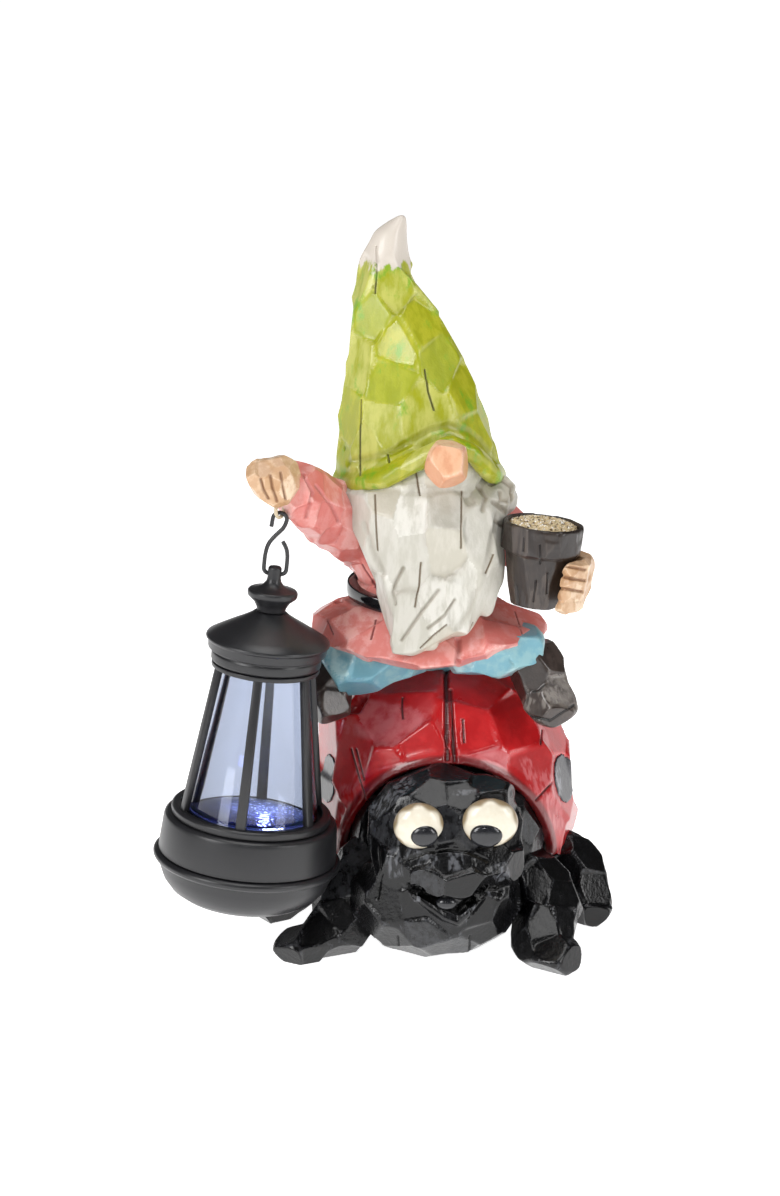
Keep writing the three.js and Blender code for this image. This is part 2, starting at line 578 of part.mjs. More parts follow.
// ---- light unit: bowl that twists off the drum ---------------------------
const bowlR = drumRadius + 0.4;
const collar = drumInner - 2.4; // bayonet collar, clear of the ledges
const bowlBlank = turned([
  [0, bowlFoot], [bowlR - 11, bowlFoot], [bowlR - 4.6, bowlFoot + 3], [bowlR - 1, bowlFoot + 8],
  [bowlR, rimFoot], [rimRadius - 0.6, rimFoot], [rimRadius, rimFoot + 0.9],
  [rimRadius, rimFoot + 2.4], [rimRadius - 0.8, rimFoot + 3.2], [collar, rimFoot + 3.2],
  [collar, drumFoot + 7.4], [collar - 1.8, drumFoot + 7.4], [collar - 1.8, rimFoot + 1],
  [bowlR - 3.6, rimFoot - 2], [bowlR - 12, bowlFoot + plasticWall],
  [0, bowlFoot + plasticWall],
], 20);
const lugs = [0, 120, 240].map((a) =>
  sector(a - 6, a + 6, collar - 1, collar + 1.9, drumFoot + 4.8, drumFoot + 6.8));
const deckZ = drumTop + 2; // top face of the module
const deckFoot = drumTop - 9;
const screwSpots = [30, 150, 270].map((a) => [18.5 * Math.cos(rad(a)), 18.5 * Math.sin(rad(a))]);
const bosses = screwSpots.map(([x, y]) => rod(3, bowlFoot + 1, deckFoot - seam, x, y, 8));
const bossHoles = screwSpots.map(([x, y]) =>
  rod(1.35, bowlFoot - 2, deckFoot + 2, x, y, 8).add(rod(2.2, bowlFoot - 2, bowlFoot + 5, x, y, 10)));
const coverX = cellLength + 12;
const coverY = cellRadius * 2 + 2.6;
const coverSlot = box(coverX + 0.6, coverY + 0.6, 6, 0, 0, bowlFoot + plasticWall - 3 + 0.4);
const coverLedge = cut(
  box(coverX + 4, coverY + 4, 1.4, 0, 0, bowlFoot + plasticWall + 0.3),
  box(coverX - 3, coverY - 3, 8, 0, 0, bowlFoot),
);
const switchAt = [0, 14];
const switchTravel = 3;
const switchSlot = box(7.6, 3.6, 8, switchAt[0] + switchTravel / 2, switchAt[1], bowlFoot);
const cellX = -3;
const cradle = box(cellLength + 8, 1.4, 4, cellX, cellRadius + 1, bowlFoot + plasticWall + 2.2)
  .add(box(cellLength + 8, 1.4, 4, cellX, -cellRadius - 1, bowlFoot + plasticWall + 2.2));
const coverPost = rod(2.4, bowlFoot + 1.6, bowlFoot + 8, coverX / 2 - 2.6, 0, 12);
const coverPilot = rod(0.8, bowlFoot - 2, bowlFoot + 7, coverX / 2 - 2.6, 0, 10);
const bowl = whole(cut(
  union([bowlBlank, ...lugs, ...bosses, coverLedge.subtract(coverSlot), coverPost, cradle])
    .subtract(coverSlot.subtract(coverPost.subtract(box(9, 9, 4, coverX / 2, 0, bowlFoot)))),
  ...bossHoles, switchSlot, coverPilot,
));
lantern.add(mesh("base_bowl", bowl, lanternBlack));

const boardZ = deckZ - 5.7;
const boardPosts = [90, 210, 330].map((a) =>
  rod(1.8, deckFoot + 1, boardZ - seam, 16 * Math.cos(rad(a)), 16 * Math.sin(rad(a)), 8));
const module = whole(cut(union([turned([
  [0, deckFoot], [moduleRadius - 1, deckFoot], [moduleRadius, deckFoot + 1], [moduleRadius, deckZ],
  [moduleRadius - 1.5, deckZ], [moduleRadius - 1.5, deckFoot + 1.8], [0, deckFoot + 1.8],
], 32), ...boardPosts]), ...screwSpots.map(([x, y]) => rod(1.1, deckFoot - 2, deckFoot + 1.4, x, y, 8)),
rod(1.6, deckFoot - 2, deckFoot + 4, 0, -8, 10)));
lantern.add(mesh("module_housing", module, lanternBlack));

lantern.add(mesh("circuit_board", rod(moduleRadius - 1.9, boardZ, boardZ + 1.2, 0, 0, 24),
  boardGreen));
const ledSpot = [5, 3];
const led = rod(2.5, boardZ + 1.5, boardZ + 3.6, ...ledSpot, 10)
  .add(lump([[...ledSpot, boardZ + 3.6, 2.4]], { scale: [1, 1, 1], origin: [0, 0, 0] }, 0, 8, 6));
lantern.add(mesh("led", led, ledWhite));
const cellPlate = cut(box(28, 28, 1.6, 0, 0, boardZ + 2.3), rod(3.2, boardZ, boardZ + 9, ...ledSpot, 14))
  .intersect(rod(moduleRadius - 2, boardZ, boardZ + 9, 0, 0, 24));
lantern.add(mesh("solar_cell", whole(cellPlate), solarBlue));
const lens = turned([
  [moduleRadius - 3.3, deckZ - 3], [moduleRadius - 1.8, deckZ - 3], [moduleRadius - 1.8, deckZ],
  [moduleRadius - 0.7, deckZ + seam], [moduleRadius - 0.7, deckZ + 1.2], [moduleRadius - 4, deckZ + 2.6],
  [0, deckZ + 3.4], [0, deckZ + 1.9], [moduleRadius - 3.3, deckZ + 0.8],
  [moduleRadius - 3.3, deckZ - 3],
], 20);
lantern.add(mesh("light_lens", lens, clearLens));

const cellZ = bowlFoot + plasticWall + seam + cellRadius;
const cell = new THREE.CylinderGeometry(cellRadius, cellRadius, cellLength, 18);
const tip = new THREE.CylinderGeometry(1.9, 1.9, 2, 12).translate(0, -cellLength / 2 - 0.5, 0);
const battery = solid(cell).add(solid(tip)).rotate([0, 0, 90]).translate([cellX, 0, cellZ]);
lantern.add(mesh("battery", battery, cellSleeve));
[-1, 1].forEach((side) => {
  const name = side < 0 ? "battery_contact_minus" : "battery_contact_plus";
  const x = cellX + side * (cellLength / 2 + 2.4);
  lantern.add(mesh(name, box(0.8, 8, 8, x, 0, cellZ), springSteel));
});
const cover = box(coverX, coverY, 1.3, 0, 0, bowlFoot + 0.65)
  .subtract(rod(1.2, bowlFoot - 2, bowlFoot + 3, coverX / 2 - 2.6, 0, 10))
  .subtract(rod(2.1, bowlFoot - 2, bowlFoot + 0.6, coverX / 2 - 2.6, 0, 12));
lantern.add(mesh("battery_cover", whole(cover), lanternBlack));

function screw(r, headR, foot, headTop, top, x, y) {
  const shank = rod(r, headTop - 0.1, top, x, y, 8).add(rod(headR, foot, headTop, x, y, 10));
  return shank.subtract(box(headR * 1.4, 0.5, 0.8, x, y, foot));
}
lantern.add(mesh("battery_cover_screw",
  screw(0.65, 1.8, bowlFoot - 0.6, bowlFoot + 0.4, bowlFoot + 6, coverX / 2 - 2.6, 0), springSteel));
screwSpots.forEach(([x, y], i) => {
  const body = screw(0.9, 1.9, bowlFoot + 3.3, bowlFoot + 4.7, deckFoot + 1.2, x, y);
  lantern.add(mesh(`module_screw_${i + 1}`, body, springSteel));
});

const slider = box(3.6, 2.8, 4.6, switchAt[0], switchAt[1], bowlFoot + 1.2)
  .add(box(8.4, 5, 1.2, switchAt[0], switchAt[1], bowlFoot + plasticWall + 1));
lantern.add(mesh("switch_slider", slider, spotGrey));

export default model;
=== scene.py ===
import json
import math
import bmesh
import bpy
import numpy as np
from mathutils import Matrix, Vector
from mathutils.bvhtree import BVHTree
from mathutils.kdtree import KDTree


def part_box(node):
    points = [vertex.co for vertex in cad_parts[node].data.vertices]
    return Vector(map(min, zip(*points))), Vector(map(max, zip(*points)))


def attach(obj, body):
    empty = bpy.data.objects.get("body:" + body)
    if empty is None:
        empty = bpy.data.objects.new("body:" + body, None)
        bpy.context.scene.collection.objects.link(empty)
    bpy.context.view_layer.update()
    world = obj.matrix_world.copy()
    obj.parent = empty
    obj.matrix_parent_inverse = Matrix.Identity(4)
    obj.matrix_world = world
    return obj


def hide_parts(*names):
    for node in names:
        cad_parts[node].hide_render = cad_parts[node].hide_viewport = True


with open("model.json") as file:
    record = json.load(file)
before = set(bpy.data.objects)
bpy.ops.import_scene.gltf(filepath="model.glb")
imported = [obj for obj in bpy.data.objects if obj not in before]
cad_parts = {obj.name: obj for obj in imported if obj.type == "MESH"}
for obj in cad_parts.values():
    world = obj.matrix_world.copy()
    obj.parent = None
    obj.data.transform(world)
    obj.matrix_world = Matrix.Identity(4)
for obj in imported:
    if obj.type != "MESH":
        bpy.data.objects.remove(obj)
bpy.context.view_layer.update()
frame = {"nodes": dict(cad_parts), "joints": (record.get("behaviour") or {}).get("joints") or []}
mm = 0.001
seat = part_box("ladybug_shell")[1].z / mm  # height of the saddle, in mm
print("frame loaded, saddle at", round(seat, 1), "mm")


def addNode(tree, kind, settings=None, links=None):
    node = tree.nodes.new(kind)
    for key, value in (settings or {}).items():
        if isinstance(key, int) or key in node.inputs:
            node.inputs[key].default_value = value
        else:
            setattr(node, key, value)
    for key, (source, output) in (links or {}).items():
        tree.links.new(source.outputs[output], node.inputs[key])
    return node


def hexLinear(code):  # sRGB hex to linear, with full alpha
    parts = [int(code[i:i + 2], 16) / 255 for i in (1, 3, 5)]
    return [c / 12.92 if c < 0.04045 else ((c + 0.055) / 1.055) ** 2.4 for c in parts] + [1]


def addObject(name, data):
    made = bpy.data.objects.new(name, data)
    bpy.context.scene.collection.objects.link(made)
    return made


def toMesh(work, name):  # the bmesh is freed
    mesh = bpy.data.meshes.new(name)
    work.to_mesh(mesh)
    work.free()
    return mesh


def newMaterial(name):
    material = bpy.data.materials.new(name)
    material.use_nodes = True
    material.node_tree.nodes.clear()
    return material, material.node_tree


def newPiece(name, mesh, body, material, nodes=()):
    piece = addObject(name, mesh)
    mesh.materials.clear()
    mesh.materials.append(material)
    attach(piece, body)
    if nodes:
        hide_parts(*nodes)
    return piece


def settle(mesh, modifiers):  # a new mesh with the modifiers worked in
    temp = addObject("temp", mesh)
    for kind, settings in modifiers:
        modifier = temp.modifiers.new(kind, kind)
        for key, value in settings.items():
            setattr(modifier, key, value)
    graph = bpy.context.evaluated_depsgraph_get()
    done = bpy.data.meshes.new_from_object(temp.evaluated_get(graph))
    bpy.data.objects.remove(temp)
    return done


def readPoints(mesh):
    spots = np.zeros(len(mesh.vertices) * 3)
    mesh.vertices.foreach_get("co", spots)
    facing = np.zeros(len(mesh.vertices) * 3)
    mesh.vertices.foreach_get("normal", facing)
    return spots.reshape(-1, 3) / mm, facing.reshape(-1, 3)


def writePoints(mesh, spots):
    mesh.vertices.foreach_set("co", (spots * mm).ravel())
    mesh.update()


def writeValue(mesh, name, values):
    layer = mesh.attributes.get(name) or mesh.attributes.new(name, "FLOAT", "POINT")
    layer.data.foreach_set("value", np.asarray(values, dtype=np.float32))


def readValue(mesh, name):
    values = np.zeros(len(mesh.vertices), dtype=np.float32)
    if name in mesh.attributes:
        mesh.attributes[name].data.foreach_get("value", values)
    return values


def melt(groups, lift=0.0, fine=0.8, soften=5, grow=0.0):
    # balls (x, y, z, radius or three radii) in mm; each group is pulled into one tight skin
    clay = bmesh.new()
    for group in groups:
        lump = bmesh.new()
        for ball in group:
            x, y, z, rx = ball[:4]
            ry, rz = ball[4:6] if len(ball) > 4 else (rx, rx)
            place = Matrix.Translation((x * mm, y * mm, (z + lift) * mm))
            place = place @ Matrix.Diagonal([(r + grow) * mm for r in (rx, ry, rz)] + [1])
            bmesh.ops.create_icosphere(lump, subdivisions=3, radius=1, matrix=place)
        if len(group) > 1:
            edges = list(lump.edges) + list(lump.faces)
            bmesh.ops.delete(lump, geom=edges, context="EDGES_FACES")
            hull = bmesh.ops.convex_hull(lump, input=lump.verts)
            loose = set(hull["geom_interior"]) | set(hull["geom_unused"])
            loose = [g for g in loose if isinstance(g, bmesh.types.BMVert)]
            bmesh.ops.delete(lump, geom=loose, context="VERTS")
        clay.from_mesh(toMesh(lump, "lump"))
    steps = [("REMESH", {"mode": "VOXEL", "voxel_size": fine * mm})]
    if soften:
        steps.append(("SMOOTH", {"factor": 0.5, "iterations": soften}))
    return settle(toMesh(clay, "clay"), steps)


def smoothStep(values, low, high):
    ramp = np.clip((values - low) / (high - low), 0, 1)
    return ramp * ramp * (3 - 2 * ramp)


knife = {"turn": 0.45, "uneven": (0.75, 1.2), "blend": 0.35, "edge": 0.55, "sharp": 2.5,
         "dirt": 0.35}


def carve(mesh, spacing, seed, tilt=0.05, squash=(1, 1, 1), guard=None, deep=0.17, soft=0):
    # flat knife cuts about `spacing` mm apart; squash under 1 stretches them along an axis
    rng = np.random.RandomState(seed)
    spots, facing = readPoints(mesh)
    turning = facing * knife["turn"] * spacing  # so cuts follow the lumps
    shape = np.hstack([spots * np.array(squash), turning])
    centres = []
    free = np.ones(len(spots), bool)
    for index in rng.permutation(len(spots)):
        if free[index]:
            centres.append(index)
            reach = (spacing * rng.uniform(*knife["uneven"])) ** 2
            free &= ((shape - shape[index]) ** 2).sum(1) > reach
    nearest = 3  # each point keeps its three nearest cuts and how far they are
    gaps = np.full((nearest, len(spots)), np.inf)
    owners = np.zeros((nearest, len(spots)), int)
    for number, index in enumerate(centres):
        gap = np.sqrt(((shape - shape[index]) ** 2).sum(1))
        held = np.full(len(spots), number)
        for rank in range(nearest):
            closer = gap < gaps[rank]
            gaps[rank][closer], gap[closer] = gap[closer], gaps[rank][closer]
            owners[rank][closer], held[closer] = held[closer], owners[rank][closer]
    count = len(centres)
    size = np.bincount(owners[0], minlength=count)[:, None]
    middle = np.stack([np.bincount(owners[0], spots[:, k], count) for k in range(3)], 1) / size
    blade = np.stack([np.bincount(owners[0], facing[:, k], count) for k in range(3)], 1) / size
    blade += rng.normal(0, tilt, blade.shape)
    blade /= np.linalg.norm(blade, axis=1)[:, None]
    limit = deep * spacing  # a blade never goes deeper than this, so hollows stay
    share = np.exp(-(gaps - gaps[0]) / knife["blend"])
    share /= share.sum(0)
    push = np.zeros_like(spots)
    for rank in range(nearest):
        plane, way = middle[owners[rank]], blade[owners[rank]]
        cut = np.clip(((plane - spots) * way).sum(1), -limit, limit)
        push += way * (cut * share[rank])[:, None]
    strength = np.ones(len(spots)) if guard is None else guard(spots)
    writePoints(mesh, spots + push * strength[:, None])
    shade = rng.uniform(0, 1, count)
    writeValue(mesh, "facet", shade[owners[0]])
    bend = blade[owners[1]] - blade[owners[0]]
    proud = (bend * (middle[owners[1]] - middle[owners[0]])).sum(1) > 0
    edge = np.exp(-(gaps[1] - gaps[0]) / knife["edge"])
    edge *= np.clip(np.linalg.norm(bend, axis=1) * knife["sharp"], 0, 1) * strength
    writeValue(mesh, "ridge", edge * proud)
    writeValue(mesh, "groove", edge * ~proud * knife["dirt"])
    if soft:
        mesh = settle(mesh, [("SMOOTH", {"factor": 0.5, "iterations": soft})])
    return mesh


frontEye = Vector((-22.4, -1065.0, 407.4))  # lines drawn on the front are seen from here, mm
drawPlane = -40.0  # and are written as (x, z) where they cross this upright plane
rayStart = 300  # mm back from a line that is seen from anywhere else


def castLine(mesh, points, toward=None, step=0.5):
    tree = BVHTree.FromPolygons([v.co for v in mesh.vertices], [p.vertices for p in mesh.polygons])
    hits = []
    for start, end in zip(points, points[1:]):
        start, end = Vector(start), Vector(end)
        count = max(2, int((end - start).length / step))
        for i in range(count + 1):
            aim = start.lerp(end, i / count)
            if toward is None:
                way = (Vector((aim.x, drawPlane, aim.y)) - frontEye).normalized()
                origin = frontEye
            else:
                way = Vector(toward).normalized()
                origin = aim - way * rayStart
            hit = tree.ray_cast(origin * mm, way)[0]
            if hit is not None:
                hits.append(np.array(hit) / mm)
    return hits


def score(mesh, lines, width, depth, toward=None, splits=2, wash=1.6, rounded=False):
    # knife lines: the mesh is split finer along them, then pressed in (or raised, below 0)
    track = [hit for line in lines for hit in castLine(mesh, line, toward)]
    if not track:
        return mesh
    track = np.array(track)
    low, high = track.min(0) - 3 * width, track.max(0) + 3 * width
    tree = KDTree(len(track))
    for i, point in enumerate(track):
        tree.insert(point, i)
    tree.balance()
    if splits:
        work = bmesh.new()
        work.from_mesh(mesh)
        for level in range(splits):
            reach = width * (1.5 if level == 0 else 1.0)
            near = []
            for edge in work.edges:
                middle = (edge.verts[0].co + edge.verts[1].co) / (2 * mm)
                if all(low[k] < middle[k] < high[k]
                       for k in range(3)) and tree.find(middle)[2] < reach:
                    near.append(edge)
            bmesh.ops.subdivide_edges(work, edges=near, cuts=1, use_grid_fill=True)
        bmesh.ops.triangulate(work, faces=[f for f in work.faces if len(f.verts) > 4])
        work.to_mesh(mesh)
        work.free()
    spots, facing = readPoints(mesh)
    inside = ((spots > low) & (spots < high)).all(1)
    gap = np.full(len(spots), np.inf)
    gap[inside] = [tree.find(p)[2] for p in spots[inside]]
    press = np.clip(1 - gap / width, 0, 1)
    press = smoothStep(press, 0, 1) if rounded else press ** 0.8
    writePoints(mesh, spots - facing * (press * depth)[:, None])
    if wash:
        writeValue(mesh, "groove", np.maximum(readValue(mesh, "groove"),
                                              np.clip(press * wash, 0, 1)))
    return mesh


def dryBrushAndSheen(mesh, strokes):
    # pale strokes (x, z, length, width, degrees) laid on as seen from the front: dry-brushed paint,
    # and painted highlight and reflection
    spots, facing = readPoints(mesh)
    eye = np.array(frontEye)
    ray = spots - eye
    reach = (drawPlane - eye[1]) / ray[:, 1]
    across = eye[0] + ray[:, 0] * reach
    up = eye[2] + ray[:, 2] * reach
    pale = readValue(mesh, "pale")
    for x, z, length, width, turned in strokes:
        c, s = math.cos(math.radians(turned)), math.sin(math.radians(turned))
        along = ((across - x) * c + (up - z) * s) / (length / 2)
        aside = (-(across - x) * s + (up - z) * c) / (width / 2)
        here = 1 - smoothStep(np.maximum(np.abs(along), np.abs(aside)), 0.75, 1.05)
        pale = np.maximum(pale, here * (facing[:, 1] < 0.1))
    writeValue(mesh, "pale", pale)
    return mesh


def shadeSmooth(mesh):
    mesh.polygons.foreach_set("use_smooth", [True] * len(mesh.polygons))
    mesh.update()
    return mesh


bristleTracks = (550, 550, 170)  # per metre: the hairs of a brush leave tracks about 2 mm apart


def paintedResin(name, look):
    # Painted polyresin: cast, brushed with acrylic in patches, rubbed pale on the
    # knife edges, washed dark in the cuts, then varnished. So flat facets, each with its
    # own shade, catch broad soft highlights. Some facets and the pale strokes also carry
    # painted reflection and highlight, in a lighter tone, along with the dry-brushed paint.
    # The casting grit of about 0.2 mm is drawn four times as coarse, so that it shows.
    material, tree = newMaterial(name)
    base, patch, light, dark, wash = look["tones"].split()
    place = addNode(tree, "ShaderNodeTexCoord")
    onObject = {"Vector": (place, "Object")}
    stroke = look.get("stroke", (5, 5, 12))  # brush patch, mm
    stretch = addNode(tree, "ShaderNodeMapping", {"Scale": [1 / (s * mm) for s in stroke]},
                      onObject)
    patches = addNode(tree, "ShaderNodeTexNoise", {"Scale": 1, "Detail": 4, "Roughness": 0.6},
                      {"Vector": (stretch, 0)})
    fine = addNode(tree, "ShaderNodeTexNoise",
                   {"Scale": 1 / (look.get("grit", 0.8) * mm), "Detail": 3},
                   onObject)
    drag = addNode(tree, "ShaderNodeMapping", {"Scale": bristleTracks, "Rotation": (0, 0.25, 0)},
                   onObject)
    streaks = addNode(tree, "ShaderNodeTexNoise", {"Scale": 1, "Detail": 2}, {"Vector": (drag, 0)})
    carved = {key: addNode(tree, "ShaderNodeAttribute", {"attribute_name": key})
              for key in ("facet", "ridge", "groove", "pale")}
    layers = [  # a colour, its strength, and the patterns that let it through between two limits
        (patch, 1.0, [(patches, 0, 0.42, 0.62)]),
        # dry-brushed paint and painted reflection: a lighter tone on some facets
        (light, look.get("brushAndSheen", 0.6), [(patches, 0, 0.3, 0.6),
                                                 (carved["facet"], "Fac",
                                                  *look.get("facets", (0.7, 0.75)))]),
        (dark, look.get("shade", 0.5), [(carved["facet"], "Fac", 0.28, 0.24)]),
        (light, look.get("rub", 0.5), [(carved["ridge"], "Fac", 0.3, 0.95),
                                       (patches, 0, 0.35, 0.6)]),
        # pale strokes: dry-brushed paint, and painted highlight and reflection
        (light, look.get("dryAndSheen", 0.85), [(carved["pale"], "Fac"), (streaks, 0, 0.38, 0.64)]),
        (wash, 0.92, [(carved["groove"], "Fac")])]
    layers += [extra(tree, place, patches) for extra in look.get("extra", ())]
    colour = None
    for tone, share, masks in layers:
        for source, output, *limits in masks:
            mask = (source, output)
            if limits:
                mask = (addNode(tree, "ShaderNodeMapRange", {"interpolation_type": "SMOOTHSTEP",
                        "From Min": limits[0], "From Max": limits[1]}, {"Value": mask}), 0)
            settings, wiring = {"operation": "MULTIPLY"}, {0: mask}
            (wiring if isinstance(share, tuple) else settings)[1] = share
            share = (addNode(tree, "ShaderNodeMath", settings, wiring), 0)
        settings, wiring = {"data_type": "RGBA", 6: hexLinear(base), 7: hexLinear(tone)}, {0: share}
        if colour:
            wiring[6] = colour
        colour = (addNode(tree, "ShaderNodeMix", settings, wiring), 2)
    grit = addNode(tree, "ShaderNodeMath", {"operation": "MULTIPLY", 1: 0.35}, {0: (fine, 0)})
    bumps = addNode(tree, "ShaderNodeMath", {"operation": "ADD"}, {0: (patches, 0), 1: (grit, 0)})
    bump = addNode(tree, "ShaderNodeBump", {"Strength": look.get("bump", 0.35), "Distance": 0.0006},
                   {"Height": (bumps, 0)})
    dull = addNode(tree, "ShaderNodeMapRange",
                   {"To Min": look["gloss"][0], "To Max": look["gloss"][1]},
                   {"Value": (patches, 0)})
    shader = addNode(tree, "ShaderNodeBsdfPrincipled", {
        "IOR": 1.5, "Specular IOR Level": look.get("level", 0.5),
        "Coat Weight": look.get("coat", 0.3),
        "Coat Roughness": look.get("coatRough", 0.12)},
        {"Base Color": colour, "Roughness": (dull, 0), "Normal": (bump, 0)})
    addNode(tree, "ShaderNodeOutputMaterial", {}, {"Surface": (shader, 0)})
    return material


def mouldedPlastic(name, look):
    # Injection-moulded ABS with a light spark-eroded grain, or a coated or plated part of
    # the same evenness: one colour, soft sheen. The grain of about 0.1 mm is drawn at
    # 0.5 mm, so that it shows.
    material, tree = newMaterial(name)
    place = addNode(tree, "ShaderNodeTexCoord")
    onObject = {"Vector": (place, "Object")}
    grain = addNode(tree, "ShaderNodeTexNoise", {"Scale": 1 / (0.5 * mm), "Detail": 2},
                    onObject)
    cloud = addNode(tree, "ShaderNodeTexNoise", {"Scale": 1 / (14 * mm), "Detail": 3},
                    onObject)
    colour = addNode(tree, "ShaderNodeMix", {"data_type": "RGBA", 6: hexLinear(look["base"]),
                                             7: hexLinear(look["worn"])}, {0: (cloud, 0)})
    dull = addNode(tree, "ShaderNodeMapRange", {"To Min": look["gloss"][0],
                                                "To Max": look["gloss"][1]},
                   {"Value": (cloud, 0)})
    bump = addNode(tree, "ShaderNodeBump", {"Strength": 0.12, "Distance": 0.0002},
                   {"Height": (grain, 0)})
    shader = addNode(tree, "ShaderNodeBsdfPrincipled", {"IOR": 1.53,
                                                        "Metallic": look.get("metal", 0.0)},
                     {"Base Color": (colour, 2), "Roughness": (dull, 0), "Normal": (bump, 0)})
    addNode(tree, "ShaderNodeOutputMaterial", {}, {"Surface": (shader, 0)})
    return material


def whiteTip(tree, place, patches):
    # bare priming left on the tip of the hat, with a wandering lower edge
    axis = addNode(tree, "ShaderNodeSeparateXYZ", {}, {0: (place, "Object")})
    wander = addNode(tree, "ShaderNodeMath", {"operation": "MULTIPLY_ADD", 1: 0.02, 2: -0.01},
                     {0: (patches, 0)})
    height = addNode(tree, "ShaderNodeMath", {"operation": "ADD"}, {0: (axis, "Z"), 1: (wander, 0)})
    return "#cdc4b9", 1.0, [(height, 0, 0.2655, 0.2675)]


def greenStrokes(tree, place, patches):
    # darker leaf-green strokes dragged over the yellow-green, about 8 mm by 17 mm
    onObject = {"Vector": (place, "Object")}
    stretch = addNode(tree, "ShaderNodeMapping", {"Location": (4, 1, 7), "Scale": (120, 120, 60),
                                                  "Rotation": (0, 0.5, 0)}, onObject)
    strokes = addNode(tree, "ShaderNodeTexNoise", {"Scale": 1, "Detail": 5, "Roughness": 0.7},
                      {"Vector": (stretch, 0)})
    return "#6a9f1a", 0.8, [(strokes, 0, 0.53, 0.66)]


# tones are the base, its patches, the light facets (dry-brushed paint and painted
# reflection), the dark facets, and the wash in the cuts
looks = {
    "hat": {"tones": "#989c06 #acac20 #c8c983 #87980c #4b4a14",
            "stroke": (5, 5, 14), "gloss": (0.3, 0.5), "facets": (0.72, 0.78), "brushAndSheen": 0.4,
            "shade": 0.35, "rub": 0.55,
            "extra": [greenStrokes, whiteTip]},
    "nose": {"tones": "#d79c78 #e1b08c #efd0b6 #c98866 #7d4f38",
             "gloss": (0.35, 0.45)},
    "beard": {"tones": "#b9b6aa #c5c2b8 #dfddd5 #bdb5a2 #6e5c42",
              "stroke": (4, 4, 14), "gloss": (0.4, 0.55), "rub": 0.3},
    "coat": {"tones": "#d67c74 #de9891 #edbdb6 #c5625c #7e322e",
             "stroke": (5, 5, 8), "gloss": (0.3, 0.48)},
    "skin": {"tones": "#c39c78 #d1b08e #ecd6ba #b98c60 #75481f",
             "stroke": (3, 3, 4), "gloss": (0.35, 0.5)},
    "trousers": {"tones": "#6fa6b6 #86b4bb #b4d2d4 #4d869a #324c50", "stroke": (6, 6, 6),
                 "gloss": (0.3, 0.45)},
    "boots": {"tones": "#382f2b #453b36 #8a837c #241e1b #0e0b09",
              "stroke": (4, 4, 6), "gloss": (0.22, 0.4), "facets": (0.8, 0.88), "brushAndSheen": 0.6,
              "dryAndSheen": 0.7},
    "pot": {"tones": "#20150f #2b2019 #524740 #19100c #1c1513",
            "stroke": (2, 2, 14), "gloss": (0.35, 0.5), "rub": 0.4, "grit": 1.4},
    "belt": {"tones": "#101013 #18181c #3c3d42 #0a0a0c #050506",
             "gloss": (0.08, 0.16), "coat": 0.8, "bump": 0.1},
    # the shell's light facets and pale strokes are painted reflection
    "shell": {"tones": "#b80d13 #c91a1e #d37478 #8f0a10 #3c0508",
              "stroke": (9, 9, 9), "gloss": (0.22, 0.4), "coat": 0.5, "coatRough": 0.12,
              "facets": (0.62, 0.66), "brushAndSheen": 0.75, "rub": 0.35, "shade": 0.3, "dryAndSheen": 0.55},
    "spot": {"tones": "#37363b #4b4a50 #8b8b92 #232227 #0c0b0d",
             "stroke": (5, 5, 5), "gloss": (0.25, 0.4)},
    "black": {"tones": "#09090a #101012 #85878d #060607 #010101",
              "stroke": (3, 3, 5), "gloss": (0.1, 0.36), "coat": 0.0, "level": 0.4,
              "facets": (0.8, 0.84), "brushAndSheen": 0.1, "rub": 0.22, "dryAndSheen": 0.42, "grit": 1.1},
    "eye": {"tones": "#e9e4d6 #e2dbc9 #f4f0e6 #e0d6bf #7c6234",
            "stroke": (3, 3, 3), "gloss": (0.25, 0.35), "coat": 0.5, "bump": 0.15,
            "facets": (2, 3)},
    "pupil": {"tones": "#1b1c20 #26272c #55565c #141518 #050506",
              "gloss": (0.2, 0.3), "coat": 0.3, "coatRough": 0.1, "bump": 0.1},
}
paint = {name: paintedResin("paintedResin_" + name, look) for name, look in looks.items()}
print("painted finishes ready:", len(paint))


def castPiece(name, mesh, look, nodes):  # a piece of the painted resin casting
    newPiece(name, shadeSmooth(mesh), "statue", paint[look], nodes)


shellCut = {"centre": (0, 8, 45), "radii": (53, 57, 66), "wall": 4.5, "skirt": 31,
            "mouthTop": (0, -43, 78), "mouthLean": (19, 44), "facet": 18.5, "fine": 0.95,
            "shoulder": 6, "shoulderAt": 88, "reflectionRingAt": 84, "lip": 3.0}


